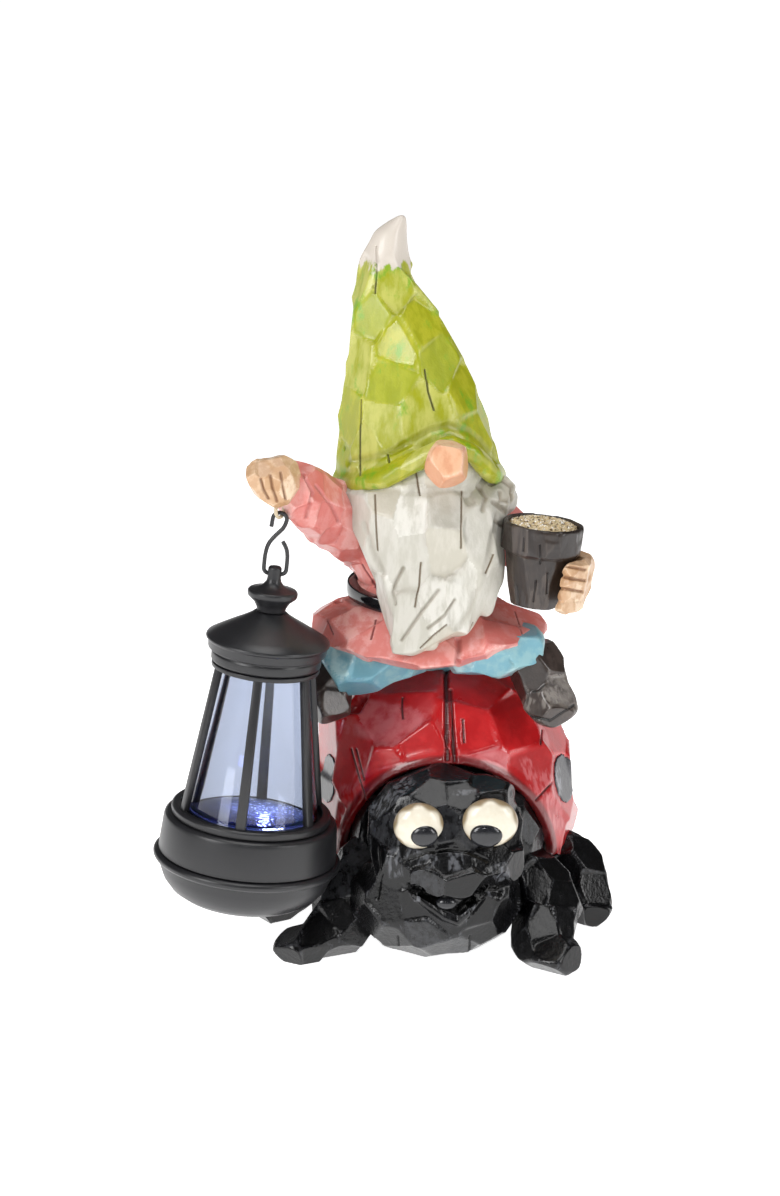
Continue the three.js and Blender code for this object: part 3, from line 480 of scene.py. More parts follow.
def buildShell(cut):
    work = bmesh.new()
    place = Matrix.Translation([c * mm for c in cut["centre"]])
    place = place @ Matrix.Diagonal([r * mm for r in cut["radii"]] + [1])
    bmesh.ops.create_icosphere(work, subdivisions=6, radius=1, matrix=place)
    back, rise = cut["mouthLean"]
    mouthWay = Vector((0, -rise, -back)).normalized()
    planes = [(Vector(cut["mouthTop"]) * mm, mouthWay), (Vector((0, 0, cut["skirt"])) * mm,
                                                         Vector((0, 0, -1)))]
    for point, way in planes:
        geom = list(work.verts) + list(work.edges) + list(work.faces)
        bmesh.ops.bisect_plane(work, geom=geom, plane_co=point, plane_no=way, clear_outer=True)
    mesh = settle(toMesh(work, "shell"), [
        ("SOLIDIFY", {"thickness": cut["wall"] * mm, "offset": -1}),
        ("REMESH", {"mode": "VOXEL", "voxel_size": cut["fine"] * mm}),
        ("SMOOTH", {"factor": 0.5, "iterations": 3})])

    spots = readPoints(mesh)[0]
    side = smoothStep(-spots[:, 0], 12, 36) * smoothStep(-spots[:, 1], -34, -8)
    bulge = np.exp(-((spots[:, 2] - cut["shoulderAt"]) / 15) ** 2)
    spots[:, 0] -= cut["shoulder"] * side * bulge  # fuller shoulder on one side
    writePoints(mesh, spots)

    def offMouth(spots):  # how far points are behind the mouth, mm
        return -((spots - np.array(cut["mouthTop"])) @ np.array(mouthWay))

    def lipGuard(spots):  # the lip round the mouth stays smooth
        return np.clip((offMouth(spots) - 2) / 3, 0, 1)
    carve(mesh, cut["facet"], 11, guard=lipGuard, tilt=0.06, deep=0.14)
    spots = readPoints(mesh)[0]
    # darker within 3 mm of the mouth's plane: the rim and its inner wall take the wash colour
    lip = np.clip(cut["lip"] - offMouth(spots), 0, 1)
    writeValue(mesh, "groove", np.maximum(readValue(mesh, "groove"), lip * 0.75))
    reflectionRing = np.exp(-((spots[:, 2] - cut["reflectionRingAt"]) / 10) ** 2) * smoothStep(-spots[:, 1], 5, 18)
    # painted reflection: pale facets only near a ring round the mouth, darker ones elsewhere
    writeValue(mesh, "facet", readValue(mesh, "facet") * 0.6 + 0.3 * reflectionRing)
    return mesh


shellMesh = buildShell(shellCut)
topLine = [(0, y, 200) for y in range(-44, 62, 3)]
score(shellMesh, [topLine], 1.5, 1.8, toward=(0, 0, -1), splits=1)
frontSeam = [(0.9, 105.4), (1.7, 93.3), (3, 76.1)]
score(shellMesh, [frontSeam], 1.3, 1.6)
shellCracks = [[(-17.7, 102.2), (-17.9, 98), (-17.5, 94.1)], [(6, 93.3), (6.5, 84.3)],
               [(-37.6, 81.4), (-34.9, 70.8), (-31.8, 60.5)], [(-35.7, 81.4), (-32.6, 68.7)],
               [(36.9, 89.2), (36.5, 83.5)], [(34.9, 60.5), (41.1, 67.5)]]
score(shellMesh, shellCracks, 0.6, 0.8)
# painted reflection: pale strokes on the lower left and right of the shell
shellSheen = [(-35, 68, 26, 5, 72), (-28, 60, 22, 4, 62), (-41, 58, 20, 4, 85), (41, 60, 30, 9, 96),
              (33, 70, 18, 5, 110)]
dryBrushAndSheen(shellMesh, shellSheen)
castPiece("wingCase", shellMesh, "shell", ["ladybug_shell"])
print("wing case carved:", len(shellMesh.polygons), "faces")

spotPlaces = {"front_left": (-46, -12, 60), "front_right": (46, -12, 60),
              "rear_left": (-34, 42, 66), "rear_right": (34, 42, 66)}
spotDisc = {"radius": 9.8, "reach": 9, "proud": 0.45, "thick": 0.9}  # mm
for side, centre in spotPlaces.items():
    disc = shellMesh.copy()
    work = bmesh.new()
    work.from_mesh(disc)
    middle = Vector(centre) * mm
    out = [(a - b) / r ** 2 for a, b, r in zip(centre, shellCut["centre"], shellCut["radii"])]
    out = Vector(out).normalized()

    def outside(face):
        step = face.calc_center_median() - middle
        rise = step.dot(out)
        away = (step - out * rise).length > spotDisc["radius"] * mm
        return away or face.normal.dot(out) < 0.1 or abs(rise) > spotDisc["reach"] * mm
    bmesh.ops.delete(work, geom=[f for f in work.faces if outside(f)], context="FACES")
    bmesh.ops.translate(work, verts=work.verts, vec=out * spotDisc["proud"] * mm)
    work.to_mesh(disc)
    work.free()
    disc = settle(disc, [("SMOOTH", {"factor": 0.5, "iterations": 4}),
                         ("SOLIDIFY", {"thickness": spotDisc["thick"] * mm, "offset": -1})])
    castPiece("wingSpot_" + side, disc, "spot", ["shell_spot_" + side])

bodyLumps = [[(0, 6, 31, 46, 49, 9), (0, 2, 6, 36, 42, 9)], [(0, -24, 40, 39, 27, 35.5)],
             [(0, 8, 45, 47.5, 51.5, 60.5)]]
bodyMesh = carve(melt(bodyLumps, fine=1.0, soften=3), 11, 5, tilt=0.08, deep=0.12)


def flatten(mesh):  # the underside stands flat on the ground
    spots = readPoints(mesh)[0]
    spots[:, 2] = np.maximum(spots[:, 2], 0)
    writePoints(mesh, spots)
    return mesh


castPiece("ladybirdBody", flatten(bodyMesh), "black", ["ladybug_body"])

headLumps = [[(-1.5, -46, 50, 31, 22.5, 26)], [(-12, -52, 66, 11, 8, 6)],
             [(16, -52, 67.5, 11, 8, 6)],
             [(-19, -55, 41, 11, 13, 10)], [(20, -55, 42, 10, 13, 10)],
             [(-9, -63, 40, 10, 10.5, 7.5), (12.5, -63, 41, 9, 10.5, 7.5),
              (2, -65.5, 38, 12, 10.5, 7.5)],
             [(-4.4, -48.5, 23.5, 33.8, 23, 22.8)], [(3.5, -66, 25.5, 12, 6, 4)]]
headMesh = carve(melt(headLumps, fine=0.8, soften=5), 11, 21, deep=0.13)
lowerLip = [(-12.5, 21.2), (-7.3, 16.6), (-1, 11.8), (4.6, 9.6), (9.3, 14.2), (13.6, 20)]
score(headMesh, [lowerLip], 2.6, -1.5, splits=1, wash=0, rounded=True)
mouthGap = [(-12.4, 23.6), (-7, 20.6), (-1.5, 17.2), (4.2, 14.4), (9.6, 18.2), (14.8, 23.8)]
score(headMesh, [mouthGap], 2.1, 3.4, wash=2.2)
mouthCorners = [[(-14.8, 24.6), (-12, 21.5)], [(14.2, 21.6), (18.8, 24.4)]]
score(headMesh, mouthCorners, 1.7, 1.6)
score(headMesh, [[(-19.2, 3.5), (-18.8, -0.7)], [(9.4, 3.5), (9.1, -2.8)]], 0.6, 0.7)
faceCreases = [[(-27, 40), (-26, 30), (-27.5, 20)], [(-16.5, 35.5), (-8.6, 38.8), (0.1, 40),
                                                     (9.2, 38.8), (15.9, 35.5)]]
score(headMesh, faceCreases, 1.1, 0.7, splits=1, wash=1)
# dry-brushed grey paint and painted highlight on the face
faceDryBrushAndHighlight = [(-21.6, 61.9, 23, 6, 43), (7, 63.6, 10, 2.4, 3), (-20.8, 34.3, 6, 13, 8),
             (21.5, 30.5, 7.5, 8, 20), (-9.8, 36, 14.5, 6.5, -18), (3.7, 35, 6.4, 8.5, 0),
             (9.4, 14.6, 8, 2.2, 50), (-11.6, 19.6, 3, 3.4, 0), (16.6, 21.4, 4.5, 2, -15)]
dryBrushAndSheen(headMesh, faceDryBrushAndHighlight)
castPiece("ladybirdHead", flatten(headMesh), "black", ["ladybug_head"])
tongueMesh = melt([[(-0.6, -70.6, 29.2, 4.2, 2.6, 2.6)]], fine=0.4, soften=2)
castPiece("tongue", tongueMesh, "pupil", [])

eyes = {"left": ((-11.3, -64.8, 58.4, 9.8, 5.6, 9.2), (-9.3, -69.5, 56, 5.2, 2.4, 4.4)),
        "right": ((16, -64.8, 59.8, 10.8, 5.6, 9.6), (14.4, -69.5, 56.2, 6.2, 2.4, 4.8))}


def smoothBall(ball):
    work = bmesh.new()
    place = Matrix.Translation([c * mm for c in ball[:3]])
    place = place @ Matrix.Diagonal([r * mm for r in ball[3:]] + [1])
    bmesh.ops.create_icosphere(work, subdivisions=5, radius=1, matrix=place)
    return toMesh(work, "ball")


for side, (white, black) in eyes.items():
    ball = smoothBall(white)
    spots = readPoints(ball)[0]
    across, up = spots[:, 0] - white[0], spots[:, 2] - white[2]
    reach = np.hypot(across / white[3], up / white[5])
    uneven = 0.05 * np.sin(7 * np.arctan2(up, across))  # the brown wash round the white wavers
    writeValue(ball, "groove", smoothStep(reach + uneven, 0.85, 0.98) * 0.9)
    castPiece("eye_" + side, ball, "eye", ["eye_" + side])
    castPiece("pupil_" + side, smoothBall(black), "pupil", ["pupil_" + side])

legChains = {
    "front_left": [(-31, -33, 31, 11), (-38, -36, 19, 13), (-41.5, -45, 10, 13, 11, 10),
                   (-50, -50, 6.5, 9, 9, 6.5), (-58, -55.5, 5.4, 9, 8.5, 5.4)],
    "front_right": [(32, -33, 26, 12), (40.5, -39, 18, 12), (38.5, -51, 11, 11),
                    (36.5, -58, 7, 10, 10, 7), (42, -66, 5.6, 9.4, 9.4, 5.6)],
    "rear_left": [(-43, -1, 25, 10), (-55, -3, 18, 9, 9, 10.5), (-65, -6, 7.5, 8),
                  (-67, -8, 5.2, 7.5, 7.5, 5.2), (-71, -12, 4.8, 7, 7.5, 4.8)],
    "rear_right": [(43, -1, 25, 10), (53, -4, 19.5, 10.5, 10, 11), (57, -9, 8.5, 9.5, 9, 8.5),
                   (58, -10, 5.2, 7.6, 7.5, 5.2), (60, -15, 4.8, 6.8, 7.5, 4.8)],
}


def links(chain):
    return [[a, b] for a, b in zip(chain, chain[1:])]


for number, (side, chain) in enumerate(legChains.items()):
    leg = carve(melt(links(chain), fine=0.6, soften=6, grow=0.9), 11.5, 31 + number, tilt=0.05,
                deep=0.16)
    castPiece("leg_" + side, flatten(leg), "black", [side + "_leg"])
print("ladybird built")

# the gnome's lumps are written from the saddle, its drawn lines from the ground
hatRings = [(-11, -11, 74, 33, 27.5, 4), (-13, -11, 92, 29.5, 24, 4),
            (-15.3, -10, 112, 24.7, 20, 4),
            (-21.3, -8, 138, 16.3, 13.5, 4), (-24.5, -6, 157, 9.2, 8.5, 4),
            (-22.5, -5, 167, 6.6, 6.2, 3.5),
            (-17.4, -5, 173.4, 2, 2, 1.6)]
brimLoop = [(-41, -15, 73), (-35, -29, 74), (-24, -36, 77.5), (-9, -40.5, 87), (1, -41.5, 92),
            (10.5, -39, 87), (17, -31, 78), (19, -17, 75.5), (16.5, 0, 73.5), (8, 12, 72),
            (-10, 16.5, 72),
            (-29, 11, 72), (-39, 0, 72.5)]
brimHeight = [(-41, 73), (-35, 74), (-24, 77.5), (-9, 87), (1, 91.5), (10.5, 87), (17, 78),
              (19, 75.5)]


def joinMeshes(parts, steps):
    work = bmesh.new()
    for part in parts:
        work.from_mesh(part)
    return settle(toMesh(work, "joined"), steps)


hatCut = {"facet": 11.5, "brimBall": 4, "setBack": 13, "brimCut": 0.25, "tip": 172}


def buildHat(cut):
    cone = melt(links(hatRings), seat, fine=0.9, soften=6)
    spots = readPoints(cone)[0]
    brim = np.interp(spots[:, 0], *zip(*brimHeight)) + seat
    under = smoothStep(brim - 1 - spots[:, 2], 0, 2) * smoothStep(-spots[:, 1], 12, 20)
    spots[:, 1] += under * cut["setBack"]  # the cone stands back below the rolled brim
    writePoints(cone, spots)
    loop = [(*spot, cut["brimBall"]) for spot in brimLoop]
    roll = melt(links(loop + loop[:1]), seat, fine=0.7, soften=2)
    hat = joinMeshes([cone, roll], [("REMESH", {"mode": "VOXEL", "voxel_size": 0.65 * mm}),
                                    ("SMOOTH", {"factor": 0.5, "iterations": 10})])

    def rollGuard(spots):  # the rolled brim and the thin tip are cut only lightly
        edge = np.interp(spots[:, 0], *zip(*brimHeight)) + seat
        rise = smoothStep(spots[:, 2] - edge, 4, 10)
        free = rise * smoothStep(seat + cut["tip"] - spots[:, 2], 6, 22)
        return cut["brimCut"] + (1 - cut["brimCut"]) * free
    return carve(hat, cut["facet"], 41, squash=(1, 1, 0.8), guard=rollGuard, tilt=0.07, deep=0.14,
                 soft=1)


hatMesh = buildHat(hatCut)
brimFold = [(-38.4, 195.7), (-28.1, 197.5), (-20.9, 200), (-6.9, 208), (-0.1, 209.6), (7.9, 207.2),
            (12.1, 203.6), (17.9, 195)]
score(hatMesh, [brimFold], 2.4, 0.9, splits=0, wash=0.25, rounded=True)
hatCracks = [[(-33.4, 219.6), (-33.8, 204.3), (-33.8, 190.7)],
             [(-9.2, 231.1), (-8, 222.7), (-5.8, 215.8)],
             [(-23.2, 198.5), (-22.8, 195.7)], [(-27.6, 277.5), (-27.3, 268), (-28, 260.2)],
             [(-39.6, 201.5), (-39.5, 200.5)]]
score(hatMesh, hatCracks, 0.55, 0.8)
castPiece("pointedHat", hatMesh, "hat", ["hat"])

noseMesh = carve(melt([[(-0.8, -48.5, 86, 8, 8.4, 9)]], seat, fine=0.45, soften=2), 7.5, 51,
                 tilt=0.05)
castPiece("nose", noseMesh, "nose", ["nose"])

beardGroups = [
    [(-25, -27, 66, 14, 15, 9), (8.5, -26, 64, 14, 15, 9), (-22, -31, 47, 11.5, 13, 9),
     (8.5, -32, 44, 13, 14, 10), (-4, -34, 60, 18, 15, 14)],
    [(-21, -31, 47, 11, 13, 9), (8.5, -32, 44, 13, 14, 10), (-17.5, -41, 21, 5.5, 7.5, 7),
     (2, -42, 22, 7, 8, 6)],
    [(-15.5, -43, 20, 6, 7, 7), (-17.5, -46.5, 14.5, 4.4, 5, 3.6)],
    [(-9, -20, 72, 26, 20, 12)], [(-3, -28, 80, 17, 13, 9)], [(-9, -6, 64, 29, 19, 10)],
]
beardGroups += [  # curls and loose tufts
                [(20, -24, 72, 6, 6, 6)], [(21.5, -22, 65.5, 5.5, 6, 5.5)],
    [(17.5, -30, 69, 6, 6, 6)],
                [(-38, -27, 69, 5, 6, 5)], [(14, -37, 45, 7, 8, 22), (12, -38, 34, 5, 6, 8)],
                [(-21, -48, 12.2, 1.2, 2, 1.4), (-12, -46, 22, 6, 6, 8), (-6, -47, 14.5, 3, 4, 3)],
                [(-14, -44, 28, 8, 6, 12), (-18, -47, 17, 4.5, 5, 4)],
    [(-1, -45, 30, 8, 6, 12), (-6, -47, 20, 5, 5, 4)]]
beardMesh = carve(melt(beardGroups, seat, fine=0.65, soften=7), 11, 61, squash=(1, 1, 0.6),
                  tilt=0.05,
                  deep=0.1, soft=6)
beardValleys = [[(-17.4, 154.2), (-20.1, 148.7), (-21.2, 144.7), (-20.5, 140)],
                [(-3.9, 145.5), (-8.9, 138.8), (-13.9, 131.6), (-17.8, 125.6)],
                [(2.6, 141.5), (-1.2, 135.6), (-7.7, 130.4)],
                [(11.5, 145.5), (8.4, 137.6), (3.9, 130.4)],
                [(-32, 171), (-29, 160), (-25.5, 152.7)], [(18.5, 175), (16.5, 163), (14.4, 152.3)]]
score(beardMesh, beardValleys[:3], 1.1, 1.0, splits=1, wash=0.55, rounded=True)
score(beardMesh, beardValleys[3:], 2.2, 0.8, splits=0, wash=0.2, rounded=True)
curls = [[(16, 187), (20, 189), (24, 186), (23.5, 181), (20, 180), (19.5, 184)],
         [(17, 180), (21, 177), (24, 173), (21, 170.5), (17.5, 173)],
         [(11, 186), (14, 182), (13, 177)]]
score(beardMesh, curls, 1.3, 0.9, splits=1, wash=0.6)
beardCracks = [[(-28.1, 182.9), (-27.8, 171.2), (-27.2, 161.3)],
               [(-12.6, 192), (-11.7, 186.8), (-11, 182.9)],
               [(4.9, 184.2), (4.9, 173.1), (4.8, 162.1)],
               [(-10.6, 156.2), (-11.2, 147.5), (-12.8, 138.9)],
               [(-10.5, 122.4), (-5.8, 127.2), (-0.5, 131.6)], [(17.1, 159.4), (14.4, 152.3)],
               [(10.7, 132.9), (9.2, 128.9)], [(9.6, 132.4), (8.4, 129.4)]]
score(beardMesh, beardCracks, 0.5, 0.7)
castPiece("longBeard", beardMesh, "beard", ["beard"])

torsoGroups = [[(-8, -14, 24, 27.5, 18.5, 4), (-9, -14.5, 30, 27.5, 18.5, 4)],
               [(-9, -14.5, 36, 29.5, 19.5, 4.4), (-9.5, -14, 44, 30, 18, 9),
                (-9, -12, 58, 28, 14, 9)]]
torsoMesh = carve(melt(torsoGroups, seat, fine=0.7, grow=0.4), 10, 71, tilt=0.06)
score(torsoMesh, [[(-37, 163.3), (-32, 153.4), (-27, 145.5)]], 0.8, 0.6)
castPiece("coat", torsoMesh, "coat", ["coat"])
skirtGroups = [[(-8, -14, 23, 29, 20, 3), (-43.5, -14, 14.5, 9.5, 17, 7),
                (28.5, -14, 12, 10, 16, 6.5),
                (-6, -40, 8, 18, 9, 3.5), (-30, -32, 10, 12, 10, 4), (19, -33, 13, 10, 10, 4),
                (-8, 12, 10, 30, 10, 5)]]
skirtMesh = carve(melt(skirtGroups, seat, fine=0.65, grow=0.6), 12, 72, tilt=0.06, deep=0.14)
score(skirtMesh, [[(-42.8, 141.2), (-37, 142.3), (-30.9, 141.5)],
                  [(3.9, 125.6), (4.3, 121.6), (3.6, 115.9)]],
      1.6, 1.3, splits=1, wash=0.6)
score(skirtMesh, [[(-29.7, 126), (-27.8, 133.6)], [(25.8, 136.9), (27.8, 131), (29, 126.9)],
                  [(-44.5, 128), (-46.5, 133)]], 0.5, 0.7)
castPiece("coatSkirt", skirtMesh, "coat", ["coat_skirt"])
raisedArm = [(-57.5, -43, 74, 8.5, 8.5, 10.8), (-47, -28, 63, 10, 10, 13),
             (-30, -14, 50, 11, 11, 15)]
sleeveMesh = carve(melt(links(raisedArm), seat, fine=0.6, grow=0.7), 9, 73, tilt=0.06, deep=0.14)
score(sleeveMesh, [[(-55.5, 191), (-52, 184), (-54.5, 174)],
                   [(-50.6, 186.4), (-45, 179), (-42.3, 173.1)]],
      1.2, 0.7, splits=1, wash=0.35, rounded=True)
castPiece("raisedSleeve", sleeveMesh, "coat", ["right_sleeve"])
potArm = [(18, -13, 55, 9, 10, 11), (36, -8, 38, 8.5, 8.5, 8.5), (47, -25, 38, 6, 6.5, 8)]
potSleeveMesh = carve(melt(links(potArm), seat, fine=0.6, grow=0.5), 9, 74, tilt=0.06, deep=0.14)
castPiece("potSleeve", potSleeveMesh, "coat", ["left_sleeve"])

strap = {"deep": 0.73, "middle": (-9.8, -14.5, 27.9), "lean": (4, 9), "round": 0.5, "steps": 96}
beltWork = bmesh.new()
beltVerts = [beltWork.verts.new((r * mm, 0, z * mm)) for r, z in
             ((25.5, -2.8), (29.6, -2.8), (29.9, 0), (29.6, 2.8), (25.5, 2.8))]
beltEdges = [beltWork.edges.new((beltVerts[i - 1], beltVerts[i])) for i in range(5)]
bmesh.ops.spin(beltWork, geom=beltVerts + beltEdges, cent=(0, 0, 0), axis=(0, 0, 1),
               angle=2 * math.pi, steps=strap["steps"], use_merge=True)
bmesh.ops.recalc_face_normals(beltWork, faces=beltWork.faces)
bmesh.ops.scale(beltWork, vec=(1, strap["deep"], 1), verts=beltWork.verts)
beltPlace = Matrix.Translation((Vector(strap["middle"]) + Vector((0, 0, seat))) * mm)
for degrees, axis in zip(strap["lean"], "YX"):
    beltPlace = beltPlace @ Matrix.Rotation(math.radians(degrees), 4, axis)
bmesh.ops.transform(beltWork, matrix=beltPlace, verts=beltWork.verts)
beltMesh = settle(toMesh(beltWork, "belt"), [("BEVEL", {"width": strap["round"] * mm,
                                                        "segments": 3})])
castPiece("belt", beltMesh, "belt", ["belt"])

fistGroups = [[(-63.5, -48.5, 80, 7.5, 8.5, 9), (-68, -48.5, 80, 7.5, 8, 8)]]
for i, (endX, endZ) in enumerate(((-70.6, 76.5), (-68, 74), (-64.9, 72.6), (-61.6, 74))):
    x, drop = -73.6 + 4 * i, 0.8 * i
    fistGroups += links([(x + 0.6, -49.5, 85 - drop, 2.9), (x, -54.5, 81.8 - drop, 2.9),
                         (endX, -54, endZ, 2.6)])
fistMesh = carve(melt(fistGroups, seat, fine=0.45, soften=5, grow=0.2), 5, 81, tilt=0.04, deep=0.1,
                 soft=3)
fistLines = [[(-71.6, 189), (-70.6, 185), (-68.8, 181.5)],
             [(-67.9, 190.5), (-67.2, 186), (-65.6, 180.5)],
             [(-64, 191.6), (-63.4, 187), (-62.2, 181.5)]]
score(fistMesh, fistLines, 0.8, 0.8, splits=1, wash=1.1)
castPiece("raisedFist", fistMesh, "skin", ["right_hand"])
gripGroups = [[(50, -34, 42.5, 6.6, 7, 6.5), (49.5, -34, 35, 6, 7, 6)]]
for i in range(4):
    z, reach = 45 - 4.9 * i, 0.8 * i
    gripGroups += links([(52.5 - reach, -36, z, 3), (51.5 - reach, -45, z, 2.8),
                         (45.5 - reach, -50.5, z, 2.6)])
gripMesh = carve(melt(gripGroups, seat, fine=0.45, soften=4), 5, 82, tilt=0.05, deep=0.1, soft=3)
gripLines = [[(43.6, 155.2), (48, 154.4), (52.6, 153.4)],
             [(43.2, 150.9), (47.5, 150), (52.6, 149.2)],
             [(42.6, 146.4), (47, 145.6), (51.8, 144.8)]]
score(gripMesh, gripLines, 0.8, 0.8, splits=1, wash=1.1)
castPiece("potHand", gripMesh, "skin", ["left_hand"])

seatMesh = carve(melt([[(-8, 1, -1, 27, 17, 8)], [(-8, -8, 1, 30, 15, 6)]], seat, fine=0.8), 12, 90,
                 tilt=0.06)
castPiece("trouserSeat", seatMesh, "trousers", [])
thighChains = {"right": [(-14, -22, 7, 11, 12, 9), (-36.5, -28, 1.5, 11.5, 11, 11)],
               "left": [(8, -30, 8, 10, 12, 9), (25.5, -27, 8, 12, 12, 9.5)]}
bootChains = {"right": [(-45.5, -23, -3, 8, 8, 6), (-46, -24, -10, 7.5, 8, 7),
                        (-46.5, -28, -15, 7.5, 9, 5.5)],
              "left": [(34, -26, 2.5, 10.5, 10, 8), (38, -28, -8, 9, 9, 7.5),
                       (40.5, -35, -13.5, 9, 9, 6)]}
for number, side in enumerate(("right", "left")):
    thigh = carve(melt(links(thighChains[side]), seat, fine=0.65, grow=0.8), 12, 91 + number,
                  tilt=0.06, deep=0.15)
    castPiece("trouser_" + side, thigh, "trousers", [side + "_trouser_leg"])
    boot = carve(melt(links(bootChains[side]), seat, fine=0.55, soften=4, grow=0.9), 10.5,
                 95 + number, tilt=0.05)
    if side == "left":
        score(boot, [[(30.2, 95.3), (39.9, 93), (49.2, 99.4)], [(24.9, 114.3), (31.8, 121.6)]], 0.8,
              0.8)
        # dry-brushed paint and painted highlight on the boot
        dryBrushAndSheen(boot, [(39.8, 102.6, 9, 8, 20), (31, 100, 6, 5, 60), (47, 108, 3, 9, 15)])
    castPiece("boot_" + side, boot, "boots", [side + "_boot"])
print("gnome built")


def turn(profile, place, steps=96, closed=False, bevel=0.35):
    # profile points (radius, height) in mm, spun round the axis of `place`
    work = bmesh.new()
    verts = [work.verts.new((r * mm, 0, z * mm)) for r, z in profile]
    pairs = list(zip(verts, verts[1:])) + ([(verts[-1], verts[0])] if closed else [])
    edges = [work.edges.new(pair) for pair in pairs]
    bmesh.ops.spin(work, geom=verts + edges, cent=(0, 0, 0), axis=(0, 0, 1), angle=2 * math.pi,
                   steps=steps, use_merge=True)
    bmesh.ops.remove_doubles(work, verts=work.verts, dist=1e-6)
    bmesh.ops.recalc_face_normals(work, faces=work.faces)
    bmesh.ops.transform(work, matrix=place, verts=work.verts)
    mesh = toMesh(work, "turned")
    steps = [("BEVEL", {"width": bevel * mm, "segments": 3, "limit_method": "ANGLE",
                        "angle_limit": 0.5})]
    return shadeSmooth(settle(mesh, steps) if bevel else mesh)


def jointPlace(origin, xAxis, zAxis):
    x, z = Vector(xAxis).normalized(), Vector(zAxis).normalized()
    y = z.cross(x)
    place = Matrix((x, y, z)).transposed().to_4x4()
    place.translation = Vector(origin)
    return place


joints = {j["name"]: j for j in frame["joints"]}
leanX, leanZ = joints["lantern_swing"]["axis"], joints["bowl_twist"]["axis"]
lanternPlace = jointPlace(joints["lantern_swing"]["pos_m"], leanX, leanZ)
hookPlace = jointPlace(joints["hook_swing"]["pos_m"], leanX, leanZ)
pot = {"foot": (33.2, -37.5, 28.5), "lean": 6, "facet": 6, "fine": 0.5}
potPlace = Matrix.Translation((Vector(pot["foot"]) + Vector((0, 0, seat))) * mm)
potPlace = potPlace @ Matrix.Rotation(math.radians(pot["lean"]), 4, "Y")

potProfile = [(0, 0), (9.6, 0), (13.4, 20.8), (15.5, 21.6), (15.7, 31.5), (15, 32.5), (13.6, 32.5),
              (13.2, 25), (0, 25)]
potMesh = settle(turn(potProfile, potPlace, steps=48, bevel=0), [
    ("REMESH", {"mode": "VOXEL", "voxel_size": pot["fine"] * mm}),
    ("SMOOTH", {"factor": 0.5, "iterations": 2})])
carve(potMesh, pot["facet"], 84, squash=(1, 1, 0.35), tilt=0.02, deep=0.045)
potCracks = [[(26.5, 147), (27.2, 139)], [(35, 163), (35.2, 156)], [(33.6, 149), (32.8, 141)],
             [(38.2, 152), (38, 144)], [(28.8, 166), (28.6, 161)]]
score(potMesh, potCracks, 0.5, 0.6)
castPiece("flowerPot", potMesh, "pot", ["pot"])
soilBed = turn([(0, 25.3), (13, 25.3), (13.1, 31), (10.5, 32.3), (5.5, 33.2), (0, 33.5)], potPlace,
               steps=48, bevel=0)
soil = {"grains": 620, "size": (0.42, 0.75), "reach": 13, "seed": 7}  # sand and fine bark, mm


def scatterGrains(bed, settings):
    rng = np.random.RandomState(settings["seed"])
    work = bmesh.new()
    work.from_mesh(bed)
    tones = [0.5] * len(work.verts)
    for number in range(settings["grains"]):
        reach = settings["reach"] * math.sqrt(rng.uniform(0, 1))
        angle = rng.uniform(0, 2 * math.pi)
        height = np.interp(reach, (0, 5.5, 10.5, 13.1), (33.6, 33.3, 32.4, 31.2))
        spot = potPlace @ (Vector((reach * math.cos(angle), reach * math.sin(angle), height)) * mm)
        size = rng.uniform(*settings["size"]) * mm
        turned = Matrix.Rotation(rng.uniform(0, 6), 4, "Z") @ Matrix.Rotation(rng.uniform(0, 6), 4,
                                                                              "X")
        place = Matrix.Translation(spot) @ turned @ Matrix.Diagonal((size, size * 0.8, size * 0.6,
                                                                     1))
        bmesh.ops.create_icosphere(work, subdivisions=1, radius=1, matrix=place)
        tones += [rng.uniform(0, 1)] * 12
    mesh = toMesh(work, "soil")
    writeValue(mesh, "facet", tones)
    return mesh


def looseSoil(name):
    # Dry sand and fine bark glued over resin: matt tan grains, each its own shade.
    material, tree = newMaterial(name)
    tone = addNode(tree, "ShaderNodeAttribute", {"attribute_name": "facet"})
    shades = addNode(tree, "ShaderNodeValToRGB", {}, {"Fac": (tone, "Fac")})
    ramp = shades.color_ramp
    for spot, code in ((0.0, "#5b452b"), (0.35, "#a3875c"), (0.7, "#c9b084"), (1.0, "#e2d2ae")):
        stop = ramp.elements.new(spot) if 0 < spot < 1 else ramp.elements[int(spot)]
        stop.color = hexLinear(code)
    place = addNode(tree, "ShaderNodeTexCoord")
    onObject = {"Vector": (place, "Object")}
    dust = addNode(tree, "ShaderNodeTexNoise", {"Scale": 1 / (0.3 * mm)}, onObject)
    bump = addNode(tree, "ShaderNodeBump", {"Strength": 0.5, "Distance": 0.0002},
                   {"Height": (dust, 0)})
    shader = addNode(tree, "ShaderNodeBsdfPrincipled", {"Roughness": 0.85},
                     {"Base Color": (shades, 0), "Normal": (bump, 0)})
    addNode(tree, "ShaderNodeOutputMaterial", {}, {"Surface": (shader, 0)})
    return material


newPiece("potSoil", scatterGrains(soilBed, soil), "statue", looseSoil("looseSoil"), ["pot_soil"])

